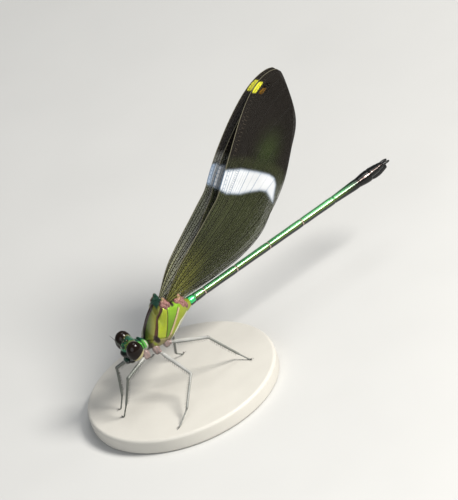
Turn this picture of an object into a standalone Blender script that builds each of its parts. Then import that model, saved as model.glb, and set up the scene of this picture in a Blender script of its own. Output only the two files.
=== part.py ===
"""A life-size model of a broad-winged damselfly at rest on a plain display base.

The head faces -Y, the animal's left is +X and +Z is up. The origin is the centre of
the base's underside. Sizes are in millimetres and become metres in place(). Places on
the body are told from the hub, the point on the body's long axis where the abdomen
leaves the thorax, as (left, back, up).
"""

import math

import bmesh
import bpy
import numpy as np
from mathutils import Matrix, Vector

# Driving dimensions, in millimetres
MM = 0.001
GAP = 0.3
BASE_RADIUS = 15.0
BASE_THICKNESS = 2.5
BASE_EDGE = 0.5
BASE_SIDES = 48
STANCE = 10.5
HUB_BACK = 6.0
HUB_UP = BASE_THICKNESS + GAP + STANCE

# Wings: length, rise above the body axis, root, the heights of the leading edge above the
# wing's axis and of the trailing edge below it at even steps from root to tip, the place,
# width and depth of the notch in the leading edge, and how far the wing bows out sideways
MEMBRANE = 0.5
TIP_MEMBRANE = 0.36
VEIN_RISE = 0.1
INNER_FACE = 0.15
WING_STATIONS = 20
WING_END = 0.998
TIP_POWER = 12.0
TIP_ROUND = 0.6
BOW_FADES = (0.52, 0.98)
VEINS = (0.08, 0.18, 0.30, 0.43, 0.57, 0.71, 0.85)
VEIN_HALF_WIDTH = 0.018
COSTA_WIDTH = 0.03
FORE_WING = {
    "length": 38.6,
    "rise_deg": 33.6,
    "root": (-4.2, 3.74),
    "lead": (-0.5, 0.25, 0.3, 0.25, 0.8, 1.85, 2.75, 3.3, 3.3),
    "trail": (1.4, 5.1, 8.1, 10.0, 10.2, 9.9, 8.8, 7.7, 3.6),
    "nodus": (0.45, 0.05, 0.3),
    "bow": 0.45,
    "layer": 1,
    "knob": ((1.42, -4.45, 3.25), (0.50, 1.05, 0.85)),
}
HIND_WING = {
    "length": 36.5,
    "rise_deg": 37.5,
    "root": (-1.55, 2.46),
    "lead": (-0.2, 0.0, 0.2, 0.8, 1.5, 2.1, 2.25, 2.15, 1.7),
    "trail": (1.1, 4.65, 7.85, 9.6, 9.5, 9.2, 8.2, 7.0, 5.4),
    "nodus": (0.42, 0.05, 0.3),
    "bow": 0.0,
    "layer": 0,
    "knob": ((1.00, -1.55, 1.72), (0.60, 1.05, 0.88)),
}

# Abdomen: for each segment its length, front and rear radius
SEGMENTS = (
    (1.10, 0.80, 0.76),
    (1.97, 0.74, 0.66),
    (6.28, 0.66, 0.66),
    (6.50, 0.65, 0.66),
    (6.54, 0.65, 0.66),
    (6.31, 0.65, 0.67),
    (4.87, 0.66, 0.80),
    (2.35, 0.82, 0.98),
    (1.75, 0.92, 0.80),
    (1.05, 0.68, 0.52),
)
RING_SIDES = 14

# Thorax: the ridge down the front of its back and the humps between the wings
CREST_RADIUS = 0.26
THORAX_SQUARENESS = 2.6
ROOF_SQUARENESS = 1.3
ROOF_ENDS = (-6.4, -4.9)
HUMP_RADII = (0.75, 0.62, 0.38)

# Head: its place, its turn to the animal's right, and the eyes
HEAD_PLACE = (0.0, -11.65, -0.4)
HEAD_TURN_DEG = -10.0
EYE_PLACE = (2.10, -0.05, 0.05)
EYE_RADII = (1.18, 1.30, 1.62)
OCELLI = ((0.0, -0.62, 1.20), (0.42, -0.22, 1.34), (-0.42, -0.22, 1.34))
OCELLUS_RADIUS = 0.2
LIP = ((0.0, -1.22, -2.08), (0.98, 0.50, 0.44))
JAWS = ((0.0, -0.42, -2.25), (1.00, 0.74, 0.58))
FEELER_ROOT_RADIUS = 0.28
FEELER = ((0.62, -1.12, 0.45), (0.66, -1.32, 0.80), (0.74, -1.45, 1.20), (0.92, -1.70, 1.95), (1.15, -2.05, 2.65))
FEELER_RADII = (0.25, 0.25, 0.22, 0.14, 0.05)

# Legs: coxa, knee, ankle and foot of each, as (left, back, up) from the hub
LEGS = {
    "leg_fore_left": ((0.95, -10.0, -2.80), (2.0, -14.8, -3.7), (0.5, -16.0, -8.3), (-0.6, -16.6, -10.25)),
    "leg_fore_right": ((-0.95, -10.0, -2.80), (-3.1, -13.6, -4.3), (-2.6, -14.7, -8.6), (-2.9, -15.6, -10.25)),
    "leg_mid_left": ((1.2, -8.25, -2.95), (6.5, -6.9, -6.5), (9.3, -11.0, -9.4), (10.1, -13.4, -10.25)),
    "leg_mid_right": ((-1.2, -8.25, -2.95), (-7.4, -9.5, -4.2), (-8.6, -6.6, -9.2), (-9.6, -4.7, -10.25)),
    "leg_hind_left": ((1.2, -6.35, -2.90), (5.0, -1.4, -3.9), (4.7, 2.4, -9.8), (6.2, 3.0, -10.25)),
    "leg_hind_right": ((-1.2, -6.35, -2.90), (-5.0, -1.5, -4.0), (-4.8, -2.9, -9.5), (-5.3, -1.7, -10.25)),
}
COXA_RADII = (0.55, 0.62, 0.90)
FEMUR_RADIUS = 0.29
TIBIA_RADIUS = 0.25
TARSUS_RADIUS = 0.25
CLAW_RADIUS = 0.12
LIMB_SIDES = 8
SPINE_LENGTH = 1.25
SPINE_ROOT_RADIUS = 0.17
SPINE_TIP_RADIUS = 0.03
SPINES = {"femur": 5, "tibia": 5}


def place(left, back, up):
    """Turns a place on the body, in millimetres from the hub, into metres."""
    return Vector((left, back + HUB_BACK, up + HUB_UP)) * MM


def clear_scene():
    for thing in list(bpy.data.objects):
        bpy.data.objects.remove(thing)


def collection(name):
    group = bpy.data.collections.new(name)
    bpy.context.scene.collection.children.link(group)
    return group


def material(name, colour, roughness, metallic):
    made = bpy.data.materials.new(name)
    made.use_nodes = True
    shader = made.node_tree.nodes["Principled BSDF"]
    shader.inputs["Base Color"].default_value = (*colour, 1.0)
    shader.inputs["Roughness"].default_value = roughness
    shader.inputs["Metallic"].default_value = metallic
    return made


def mesh_object(name, points, faces, group):
    mesh = bpy.data.meshes.new(name)
    mesh.from_pydata([tuple(p) for p in points], [], faces)
    mesh.update()
    made = bpy.data.objects.new(name, mesh)
    group.objects.link(made)
    return made


def finish(piece, finish_material):
    """Gives a piece its material and smooth shading with sharp creases."""
    piece.data.materials.clear()
    piece.data.materials.append(finish_material)
    piece.data.shade_smooth()
    piece.data.set_sharp_from_angle(angle=math.radians(40))


def ellipsoid(name, centre, radii, group, segments=20, rings=12, grow=0.0, turn=0.0):
    """A UV sphere stretched to three radii and turned about the upright, round a place on the body."""
    mesh = bpy.data.meshes.new(name)
    form = bmesh.new()
    bmesh.ops.create_uvsphere(form, u_segments=segments, v_segments=rings, radius=1.0)
    size = Vector(radii) * MM + Vector((grow, grow, grow)) * MM
    bmesh.ops.scale(form, vec=size, verts=form.verts)
    spin = Matrix.Rotation(math.radians(turn), 3, "Z")
    bmesh.ops.rotate(form, cent=(0.0, 0.0, 0.0), matrix=spin, verts=form.verts)
    bmesh.ops.translate(form, vec=place(*centre), verts=form.verts)
    form.to_mesh(mesh)
    form.free()
    made = bpy.data.objects.new(name, mesh)
    group.objects.link(made)
    return made


def loft(name, rings, group):
    """Skins a list of rings of equal count and closes both ends with one face each."""
    count = len(rings[0])
    points = [p for ring in rings for p in ring]
    faces = []
    for i in range(len(rings) - 1):
        for j in range(count):
            k = (j + 1) % count
            a, b = i * count, (i + 1) * count
            faces.append((a + j, b + j, b + k, a + k))
    faces.append(tuple(range(count)))
    last = (len(rings) - 1) * count
    faces.append(tuple(last + j for j in reversed(range(count))))
    made = mesh_object(name, points, faces, group)
    form = bmesh.new()
    form.from_mesh(made.data)
    bmesh.ops.recalc_face_normals(form, faces=form.faces)
    form.to_mesh(made.data)
    form.free()
    return made


def smooth_row(stations, t):
    """The row at share t of evenly spaced stations, on a smooth cubic through each column."""
    table = np.array(stations, dtype=float)
    slopes = np.gradient(table, axis=0)
    i = min(int(t * (len(table) - 1)), len(table) - 2)
    x = t * (len(table) - 1) - i
    return (
        (2 * x**3 - 3 * x**2 + 1) * table[i]
        + (x**3 - 2 * x**2 + x) * slopes[i]
        + (3 * x**2 - 2 * x**3) * table[i + 1]
        + (x**3 - x**2) * slopes[i + 1]
    )


def hull_rings(stations, count, sides, squareness=2.0, roof=None):
    """Upright rings along the body, from (back, half width, top, bottom) stations.

    Each ring is a superellipse of the given squareness. Where roof is given, it tells the
    squareness of the upper half from the place along the body.
    """
    rings = []
    for t in np.linspace(0.0, 1.0, count):
        back, half_width, top, bottom = smooth_row(stations, t)
        middle, half_height = (top + bottom) / 2, (top - bottom) / 2
        upper = roof(back) if roof else squareness
        ring = []
        for j in range(sides):
            angle = 2 * math.pi * (j + 0.5) / sides
            c, s = math.cos(angle), math.sin(angle)
            power = 2 / (upper if s > 0 else squareness)
            across = math.copysign(abs(c) ** power, c) * half_width
            height = math.copysign(abs(s) ** power, s) * half_height
            ring.append(place(across, back, middle + height))
        rings.append(ring)
    return rings


def keep_largest(piece):
    """Keeps only the largest closed surface of a piece."""
    form = bmesh.new()
    form.from_mesh(piece.data)
    left = set(form.verts)
    shells = []
    while left:
        seed = left.pop()
        shell, edge = {seed}, [seed]
        while edge:
            for link in edge.pop().link_edges:
                for vert in link.verts:
                    if vert not in shell:
                        shell.add(vert)
                        edge.append(vert)
        left -= shell
        shells.append(shell)
    shells.sort(key=len, reverse=True)
    drop = [vert for shell in shells[1:] for vert in shell]
    bmesh.ops.delete(form, geom=drop, context="VERTS")
    form.to_mesh(piece.data)
    form.free()


def combine(piece, others, operation):
    """Joins or cuts a piece with a collection of others in one Boolean, then drops them."""
    tools = bpy.data.collections.new("boolean_tools")
    bpy.context.scene.collection.children.link(tools)
    for other in others:
        for group in list(other.users_collection):
            group.objects.unlink(other)
        tools.objects.link(other)
    step = piece.modifiers.new("combine", "BOOLEAN")
    step.operation = operation
    step.operand_type = "COLLECTION"
    step.collection = tools
    step.solver = "MANIFOLD"
    graph = bpy.context.evaluated_depsgraph_get()
    joined = bpy.data.meshes.new_from_object(piece.evaluated_get(graph))
    piece.modifiers.clear()
    piece.data = joined
    for other in others:
        bpy.data.objects.remove(other)
    bpy.data.collections.remove(tools)
    keep_largest(piece)


def edge_height(heights, s):
    """Distance of a wing edge from the wing's axis, rounded off at the tip."""
    return smooth_row(heights, s) * (1 - s**TIP_POWER) ** TIP_ROUND


def bow_share(s):
    """1 along the middle of the wing, falling smoothly to 0 at the root and the tip."""
    start, end = BOW_FADES
    t = min(max((s - start) / (end - start), 0.0), 1.0)
    return 1 - t * t * (3 - 2 * t) - (1 - s) ** 6


def wing_columns():
    """Places across the chord, 0 at the leading edge, and 1 where a vein's crest runs."""
    columns = [(0.0, 1.0), (COSTA_WIDTH, 0.0)]
    for vein in VEINS:
        columns += [(vein - VEIN_HALF_WIDTH, 0.0), (vein, 1.0), (vein + VEIN_HALF_WIDTH, 0.0)]
    columns.append((1.0, 0.0))
    return columns


def wing(name, spec, side, group):
    """A thin membrane with the main veins raised on its outer face, and a thick root knob.

    Both faces share one grid, so they are split into triangles alike.
    """
    pitch = MEMBRANE + VEIN_RISE + GAP
    rise = math.radians(spec["rise_deg"])
    root_back, root_up = spec["root"]
    centre, width, depth = spec["nodus"]
    columns = wing_columns()
    faces_in, faces_out = [], []
    for i in range(WING_STATIONS + 1):
        t = i / WING_STATIONS
        s = WING_END * (1 - math.cos(math.pi * t)) / 2
        inner = INNER_FACE + spec["layer"] * pitch + spec["bow"] * bow_share(s)
        dent = depth * math.exp(-(((s - centre) / width) ** 2))
        lead = edge_height(spec["lead"], s) - dent
        trail = -edge_height(spec["trail"], s)
        thickness = MEMBRANE - (MEMBRANE - TIP_MEMBRANE) * s**6
        for across, crest in columns:
            u = s * spec["length"]
            v = lead + (trail - lead) * across
            back = root_back + u * math.cos(rise) - v * math.sin(rise)
            up = root_up + u * math.sin(rise) + v * math.cos(rise)
            outer = inner + thickness + crest * VEIN_RISE
            faces_in.append(place(side * inner, back, up))
            faces_out.append(place(side * outer, back, up))
    wide = len(columns)
    points = faces_in + faces_out
    lift = len(faces_in)
    faces = []
    for i in range(WING_STATIONS):
        for j in range(wide - 1):
            a = i * wide + j
            b = a + wide
            faces += [(a, a + 1, b), (a + 1, b + 1, b)]
            faces += [(lift + a, lift + b, lift + a + 1), (lift + a + 1, lift + b, lift + b + 1)]
    rim = list(range(wide))
    rim += [i * wide + wide - 1 for i in range(1, WING_STATIONS + 1)]
    rim += [WING_STATIONS * wide + j for j in range(wide - 2, -1, -1)]
    rim += [i * wide for i in range(WING_STATIONS - 1, 0, -1)]
    for k, a in enumerate(rim):
        b = rim[(k + 1) % len(rim)]
        faces.append((a, lift + a, lift + b, b))
    made = mesh_object(name, points, faces, group)
    form = bmesh.new()
    form.from_mesh(made.data)
    bmesh.ops.recalc_face_normals(form, faces=form.faces)
    form.to_mesh(made.data)
    form.free()
    (left, back, up), radii = spec["knob"]
    knob = ellipsoid("knob", (side * left, back, up), radii, group, segments=12, rings=8)
    combine(made, [knob], "UNION")
    return made


def socket(spec, side, group):
    """The hollow that a wing's root knob sits in, the gap wider all round."""
    (left, back, up), radii = spec["knob"]
    return ellipsoid("socket", (side * left, back, up), radii, group, 14, 9, grow=GAP)


def limb_rings(path, radii, sides, floor):
    """Rings across a bent path; no point of a ring is lower than the floor."""
    points = [Vector(p) for p in path]
    rings = []
    guide = Vector((0.0, 0.0, 1.0))
    for i, point in enumerate(points):
        before = (point - points[i - 1]).normalized() if i else None
        after = (points[i + 1] - point).normalized() if i < len(points) - 1 else None
        if before is None:
            along, stretch = after, 1.0
        elif after is None:
            along, stretch = before, 1.0
        else:
            along = (before + after).normalized()
            stretch = 1 / max(along.dot(after), 0.5)
        side = along.cross(guide)
        if side.length < 0.2:
            side = along.cross(Vector((1.0, 0.0, 0.0)))
        side.normalize()
        top = side.cross(along).normalized()
        bend = (after - before) if before and after else Vector((0.0, 0.0, 0.0))
        ring = []
        for j in range(sides):
            angle = 2 * math.pi * (j + 0.5) / sides
            spoke = (side * math.cos(angle) + top * math.sin(angle)) * radii[i]
            if bend.length > 0.05:
                fold = bend.normalized()
                spoke += fold * spoke.dot(fold) * (stretch - 1)
            end = point + spoke
            end.z = max(end.z, floor)
            ring.append(place(*end))
        rings.append(ring)
    return rings


def between(a, b, share):
    return tuple(a[k] + (b[k] - a[k]) * share for k in range(3))


def spine(root, along, group):
    """One tapered spine that starts inside the limb and leans towards its foot."""
    tip = root + along * SPINE_LENGTH
    radii = (SPINE_ROOT_RADIUS, SPINE_TIP_RADIUS)
    return loft("spine", limb_rings((root, tip), radii, 5, -STANCE), group)


def spine_rows(start, end, count, facing, group):
    """Two rows of spines along one stretch of a leg, on the side that faces the ground."""
    start, end = Vector(start), Vector(end)
    run = (end - start).normalized()
    down = (facing - run * facing.dot(run)).normalized()
    across = run.cross(down)
    spines = []
    for i in range(count):
        share = 0.18 + 0.72 * i / (count - 1)
        lean = across * (0.55 if i % 2 else -0.55)
        along = (down + lean + run * 0.45).normalized()
        spines.append(spine(start.lerp(end, share), along, group))
    return spines


def leg(name, joints, group):
    """One leg: a rounded coxa, femur and tibia with spines, and a jointed foot that ends flat."""
    coxa, knee, ankle, foot = joints
    near = 0.5
    femur = (Vector(knee) - Vector(coxa)).length
    tibia = (Vector(ankle) - Vector(knee)).length
    toe = between(ankle, foot, 1.3)
    stretches = (
        (coxa, FEMUR_RADIUS * 0.9),
        (between(coxa, knee, 0.14), FEMUR_RADIUS * 0.9),
        (between(coxa, knee, 0.22), FEMUR_RADIUS * 1.15),
        (between(coxa, knee, 0.6), FEMUR_RADIUS),
        (between(coxa, knee, 1 - near / femur), FEMUR_RADIUS * 0.9),
        (knee, FEMUR_RADIUS),
        (between(knee, ankle, near / tibia), TIBIA_RADIUS),
        (between(knee, ankle, 0.6), TIBIA_RADIUS),
        (between(knee, ankle, 1 - near / tibia), TIBIA_RADIUS * 1.04),
        (ankle, TARSUS_RADIUS),
        (between(ankle, foot, 0.3), TARSUS_RADIUS),
        (foot, TARSUS_RADIUS),
        ((toe[0], toe[1], foot[2]), CLAW_RADIUS),
    )
    path = [point for point, radius in stretches]
    radii = [radius for point, radius in stretches]
    limb = loft(name, limb_rings(path, radii, LIMB_SIDES, -STANCE), group)
    pieces = [ellipsoid("coxa", coxa, COXA_RADII, group, segments=12, rings=8)]
    ground = Vector((0.0, 0.0, -1.0))
    inward = (Vector(ankle) - Vector(coxa)).normalized()
    pieces += spine_rows(coxa, knee, SPINES["femur"], ground, group)
    pieces += spine_rows(knee, ankle, SPINES["tibia"], ground * 0.4 - inward, group)
    combine(limb, pieces, "UNION")
    return limb


def coxa_socket(name, group):
    return ellipsoid("coxa_socket", LEGS[name][0], COXA_RADII, group, 12, 8, grow=GAP)


def abdomen(group, skin, club):
    """Ten segments end to end, the last three a club with the egg-laying blades under it."""
    back = 0.0
    for number, (length, front, rear) in enumerate(SEGMENTS, 1):
        start, end = back + GAP / 2, back + length - GAP / 2
        lift = {9: 0.22, 10: 0.25}.get(number, 0.0)
        waist = 0.97 if 2 < number < 7 else 1.0
        middle = (front + rear) / 2 * waist
        flat = {9: 0.78, 10: 0.8}.get(number, 1.0)
        stations = (
            (start, front * 0.93, lift + front * 0.93 * flat, lift - front * 0.93 * flat),
            (start + 0.12 * (end - start), front, lift + front * flat, lift - front * flat),
            ((start + end) / 2, middle, lift + middle * flat, lift - middle * flat),
            (end - 0.12 * (end - start), rear, lift + rear * flat, lift - rear * flat),
            (end, rear * 0.95, lift + rear * 0.95 * flat, lift - rear * 0.95 * flat),
        )
        rings = hull_rings(stations, 6, RING_SIDES)
        made = loft(f"abdomen_{number:02d}", rings, group)
        finish(made, club if number > 7 else skin)
        back += length
    return back


def terminal_parts(tip, group, club):
    """The two cerci at the abdomen's end and the blades under the last two segments."""
    for side, word in ((1, "left"), (-1, "right")):
        root = (side * 0.33, tip + GAP / 2, 0.35)
        path = (root, (side * 0.40, tip + 0.6, 0.36), (side * 0.36, tip + 1.15, 0.30))
        rings = limb_rings(path, (0.25, 0.22, 0.08), LIMB_SIDES, -STANCE)
        finish(loft(f"cercus_{word}", rings, group), club)
    club_end = sum(length for length, front, rear in SEGMENTS[:8])
    stations = (
        (club_end + GAP / 2, 0.36, -0.82, -1.05),
        (club_end + 0.9, 0.36, -0.78, -1.22),
        (club_end + 2.1, 0.30, -0.62, -1.12),
        (club_end + 3.3, 0.14, -0.52, -0.74),
    )
    finish(loft("ovipositor", hull_rings(stations, 7, 10), group), club)


def thorax_roof(back):
    """Squareness of the thorax's upper half: a steep roof in front, boxy between the wings."""
    start, end = ROOF_ENDS
    t = min(max((back - start) / (end - start), 0.0), 1.0)
    return ROOF_SQUARENESS + (THORAX_SQUARENESS - ROOF_SQUARENESS) * t * t * (3 - 2 * t)


def thorax(group, skin):
    """The skewed box of the two winged segments, hollowed where wings and legs root."""
    stations = (
        (-9.10, 1.05, -0.70, -2.55),
        (-8.30, 1.70, 0.95, -2.95),
        (-7.20, 2.05, 2.30, -3.10),
        (-6.20, 2.15, 3.10, -3.20),
        (-5.20, 2.15, 3.45, -3.15),
        (-4.20, 2.10, 3.20, -2.65),
        (-3.20, 2.00, 2.70, -2.00),
        (-2.20, 1.80, 2.20, -1.40),
        (-1.20, 1.35, 1.55, -0.98),
        (-GAP / 2, 0.80, 0.82, -0.78),
    )
    made = loft("thorax", hull_rings(stations, 17, 22, THORAX_SQUARENESS, thorax_roof), group)
    crest = ((0.0, -8.7, -0.15), (0.0, -8.2, 0.80), (0.0, -7.2, 2.08), (0.0, -6.2, 2.85), (0.0, -5.2, 3.05))
    ridges = [loft("crest", limb_rings(crest, (CREST_RADIUS,) * len(crest), 6, -STANCE), group)]
    for back, top in ((-4.35, 2.95), (-2.35, 2.10)):
        ridges.append(ellipsoid("hump", (0.0, back, top), HUMP_RADII, group, 14, 8))
    combine(made, ridges, "UNION")
    cutters = [socket(spec, side, group) for spec in (FORE_WING, HIND_WING) for side in (1, -1)]
    cutters += [coxa_socket(name, group) for name in LEGS if "fore" not in name]
    combine(made, cutters, "DIFFERENCE")
    finish(made, skin)


def prothorax(group, skin):
    """The small first segment with its collar and the neck that reaches the head."""
    stations = (
        (-11.40, 0.50, -0.40, -1.20),
        (-10.95, 0.62, -0.40, -1.45),
        (-10.65, 1.20, -0.05, -2.05),
        (-10.40, 1.25, -0.02, -2.30),
        (-10.05, 1.15, -0.25, -2.40),
        (-9.70, 1.30, -0.02, -2.45),
        (-9.40, 1.20, -0.35, -2.45),
    )
    made = loft("prothorax", hull_rings(stations, 15, 18), group)
    cutters = [coxa_socket(name, group) for name in LEGS if "fore" in name]
    cutters += head_forms(group, GAP)
    combine(made, cutters, "DIFFERENCE")
    finish(made, skin)


def on_head(left, back, up):
    """Turns a place told from the head's centre into one told from the hub."""
    turned = Matrix.Rotation(math.radians(HEAD_TURN_DEG), 3, "Z") @ Vector((left, back, up))
    return tuple(turned + Vector(HEAD_PLACE))


def head_form(name, centre, radii, group, segments=16, rings=9, grow=0.0):
    return ellipsoid(name, on_head(*centre), radii, group, segments, rings, grow, HEAD_TURN_DEG)


def head_forms(group, grow=0.0):
    """The rounded forms that the head capsule is fused from, the broad skull first."""
    forms = [
        ((0.0, 0.10, -0.10), (2.50, 1.05, 1.45)),
        ((0.0, 0.00, 0.75), (1.35, 1.00, 0.62)),
        ((0.0, -0.72, 0.05), (1.20, 0.72, 0.85)),
        ((0.0, -1.12, -0.70), (1.22, 0.74, 0.52)),
        ((0.0, -1.10, -1.18), (1.05, 0.66, 0.44)),
        ((0.0, -0.30, -1.30), (1.25, 0.95, 0.70)),
    ]
    for side in (1, -1):
        forms.append(((side * 1.60, 0.58, -0.05), (1.15, 0.60, 1.28)))
        forms.append(((side * 1.10, -0.60, -1.15), (0.62, 0.72, 0.85)))
    return [head_form("head_form", centre, radii, group, grow=grow) for centre, radii in forms]


def head(group, skin, eye_skin, mouth_skin, feeler_skin):
    """The head capsule with ocelli, eyes, lip, jaws and feelers in nodes of their own."""
    forms = head_forms(group)
    capsule = forms.pop(0)
    capsule.name = "head"
    for centre in OCELLI:
        forms.append(head_form("ocellus", centre, (OCELLUS_RADIUS,) * 3, group, 10, 6))
    combine(capsule, forms, "UNION")
    cutters = [
        head_form("lip_socket", *LIP, group, 16, 9, GAP),
        head_form("jaw_socket", *JAWS, group, 16, 9, GAP),
    ]
    for side in (1, -1):
        eye_place = (side * EYE_PLACE[0], EYE_PLACE[1], EYE_PLACE[2])
        cutters.append(head_form("eye_socket", eye_place, EYE_RADII, group, 20, 13, GAP))
        cutters.append(feeler_root("feeler_socket", side, group, GAP))
    combine(capsule, cutters, "DIFFERENCE")
    finish(capsule, skin)
    for side, word in ((1, "left"), (-1, "right")):
        eye_place = (side * EYE_PLACE[0], EYE_PLACE[1], EYE_PLACE[2])
        finish(head_form(f"eye_{word}", eye_place, EYE_RADII, group, 20, 13), eye_skin)
        rings = limb_rings(feeler_path(side), FEELER_RADII, LIMB_SIDES, -STANCE)
        feeler = loft(f"antenna_{word}", rings, group)
        combine(feeler, [feeler_root("feeler_root", side, group)], "UNION")
        finish(feeler, feeler_skin)
    labrum = head_form("labrum", *LIP, group, 16, 9)
    mandibles = head_form("mouthparts", *JAWS, group, 16, 9)
    combine(mandibles, [head_form("lip_gap", *LIP, group, 16, 9, GAP)], "DIFFERENCE")
    finish(labrum, mouth_skin)
    finish(mandibles, mouth_skin)


def feeler_path(side):
    """The bent line of one feeler, from its root on the brow upwards."""
    return tuple(on_head(side * left, back, up) for left, back, up in FEELER)


def feeler_root(name, side, group, grow=0.0):
    return ellipsoid(name, feeler_path(side)[0], (FEELER_ROOT_RADIUS,) * 3, group, 12, 8, grow)


def stand_base(group, skin):
    """The plain display base: a thin round plate with bevelled edges."""
    mesh = bpy.data.meshes.new("stand_base")
    form = bmesh.new()
    bmesh.ops.create_cone(
        form,
        cap_ends=True,
        segments=BASE_SIDES,
        radius1=BASE_RADIUS * MM,
        radius2=BASE_RADIUS * MM,
        depth=BASE_THICKNESS * MM,
    )
    bmesh.ops.translate(form, vec=(0.0, 0.0, BASE_THICKNESS * MM / 2), verts=form.verts)
    top = [edge for edge in form.edges if all(vert.co.z > BASE_THICKNESS * MM * 0.9 for vert in edge.verts)]
    bmesh.ops.bevel(
        form,
        geom=top,
        offset=BASE_EDGE * MM,
        offset_type="OFFSET",
        segments=2,
        profile=0.5,
        affect="EDGES",
    )
    form.to_mesh(mesh)
    form.free()
    made = bpy.data.objects.new("stand_base", mesh)
    group.objects.link(made)
    finish(made, skin)


def main():
    clear_scene()
    group = collection("damselfly")
    thorax_skin = material("thorax_skin", (0.16, 0.24, 0.04), 0.35, 0.6)
    abdomen_skin = material("abdomen_skin", (0.05, 0.30, 0.14), 0.25, 0.7)
    club_skin = material("club_skin", (0.02, 0.02, 0.02), 0.25, 0.2)
    head_skin = material("head_skin", (0.03, 0.16, 0.09), 0.3, 0.6)
    eye_skin = material("eye_skin", (0.02, 0.012, 0.015), 0.12, 0.0)
    mouth_skin = material("mouth_skin", (0.02, 0.05, 0.03), 0.25, 0.4)
    leg_skin = material("leg_skin", (0.42, 0.38, 0.38), 0.4, 0.0)
    wing_skin = material("wing_skin", (0.05, 0.035, 0.02), 0.35, 0.0)
    base_skin = material("base_skin", (0.75, 0.74, 0.70), 0.6, 0.0)

    stand_base(group, base_skin)
    tip = abdomen(group, abdomen_skin, club_skin)
    terminal_parts(tip, group, club_skin)
    thorax(group, thorax_skin)
    prothorax(group, head_skin)
    head(group, head_skin, eye_skin, mouth_skin, leg_skin)
    for side, word in ((1, "left"), (-1, "right")):
        finish(wing(f"wing_fore_{word}", FORE_WING, side, group), wing_skin)
        finish(wing(f"wing_hind_{word}", HIND_WING, side, group), wing_skin)
    for name, joints in LEGS.items():
        finish(leg(name, joints, group), leg_skin)


main()
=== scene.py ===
"""Surfaces, materials, light and camera of a life-size broad-winged damselfly on a display base.

Places on the body are (left, back, up) in millimetres from the hub, the point on the body's
long axis where the abdomen leaves the thorax. world() turns them into metres.
"""

import math

import bpy
import numpy as np
from mathutils import Matrix, Vector

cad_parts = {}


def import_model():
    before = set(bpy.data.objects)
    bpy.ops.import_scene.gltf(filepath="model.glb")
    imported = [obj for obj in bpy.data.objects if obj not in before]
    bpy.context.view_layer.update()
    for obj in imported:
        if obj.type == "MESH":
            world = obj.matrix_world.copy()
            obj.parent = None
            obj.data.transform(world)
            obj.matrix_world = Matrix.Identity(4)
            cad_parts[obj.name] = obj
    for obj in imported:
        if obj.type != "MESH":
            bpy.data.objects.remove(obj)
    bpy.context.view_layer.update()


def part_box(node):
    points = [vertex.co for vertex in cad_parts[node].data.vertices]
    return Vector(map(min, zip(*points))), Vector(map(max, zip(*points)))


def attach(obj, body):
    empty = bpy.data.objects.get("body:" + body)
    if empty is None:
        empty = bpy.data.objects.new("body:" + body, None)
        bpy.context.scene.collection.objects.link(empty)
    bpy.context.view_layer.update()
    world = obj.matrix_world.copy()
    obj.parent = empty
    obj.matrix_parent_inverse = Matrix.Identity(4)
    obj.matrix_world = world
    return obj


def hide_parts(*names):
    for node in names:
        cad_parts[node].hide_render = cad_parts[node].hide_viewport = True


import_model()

bl_info = {
    "name": "Damselfly model",
    "version": (1, 0, 0),
    "blender": (4, 5, 0),
    "location": "3D View > Sidebar > Damselfly",
    "description": "Builds the surfaces and finishes of a life-size damselfly model",
    "category": "Add Mesh",
}

MM = 0.001
GAP = 0.3
BODY = "root"
FIRST_LOW, FIRST_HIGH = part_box("abdomen_01")
HUB = np.array((0.0, FIRST_LOW.y / MM - GAP / 2, (FIRST_LOW.z + FIRST_HIGH.z) / 2 / MM))
BASE_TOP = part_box("stand_base")[1].z / MM - HUB[2]
BASE_EDGE = 0.5
BASE_SIDES = 256
EDGE_ROWS = 9
SIDES = ((1, "left"), (-1, "right"))

# The photo's view: the way to the camera, the image's right and up, and its size
VIEW_BACK = Vector((0.7807, -0.3604, 0.5105))
VIEW_RIGHT = Vector((0.5612, 0.7637, -0.3192))
VIEW_UP = Vector((-0.2748, 0.5357, 0.7984))
IMAGE_WIDTH = 458
IMAGE_HEIGHT = 500
HUB_PIXEL = (188.0, 302.0)
PIXELS_PER_MM = 6.65
SENSOR = 36.0

# Light: the sky's colour and strength, and the lamps (name, way to it, metres away, size, watts,
# colour)
SKY_TONE = (0.92, 0.95, 1.0, 1.0)
SKY_STRENGTH = 0.24
LAMPS = (
    ("key", (0.60, 0.42, 0.68), 0.45, 0.15, 3.0, (1.0, 0.97, 0.92)),
    ("fill", (0.55, -0.75, 0.45), 0.6, 0.45, 1.1, (0.95, 0.98, 1.0)),
    ("top", (0.05, 0.36, 0.92), 0.6, 0.30, 0.9, (1.0, 1.0, 1.0)),
)

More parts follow.
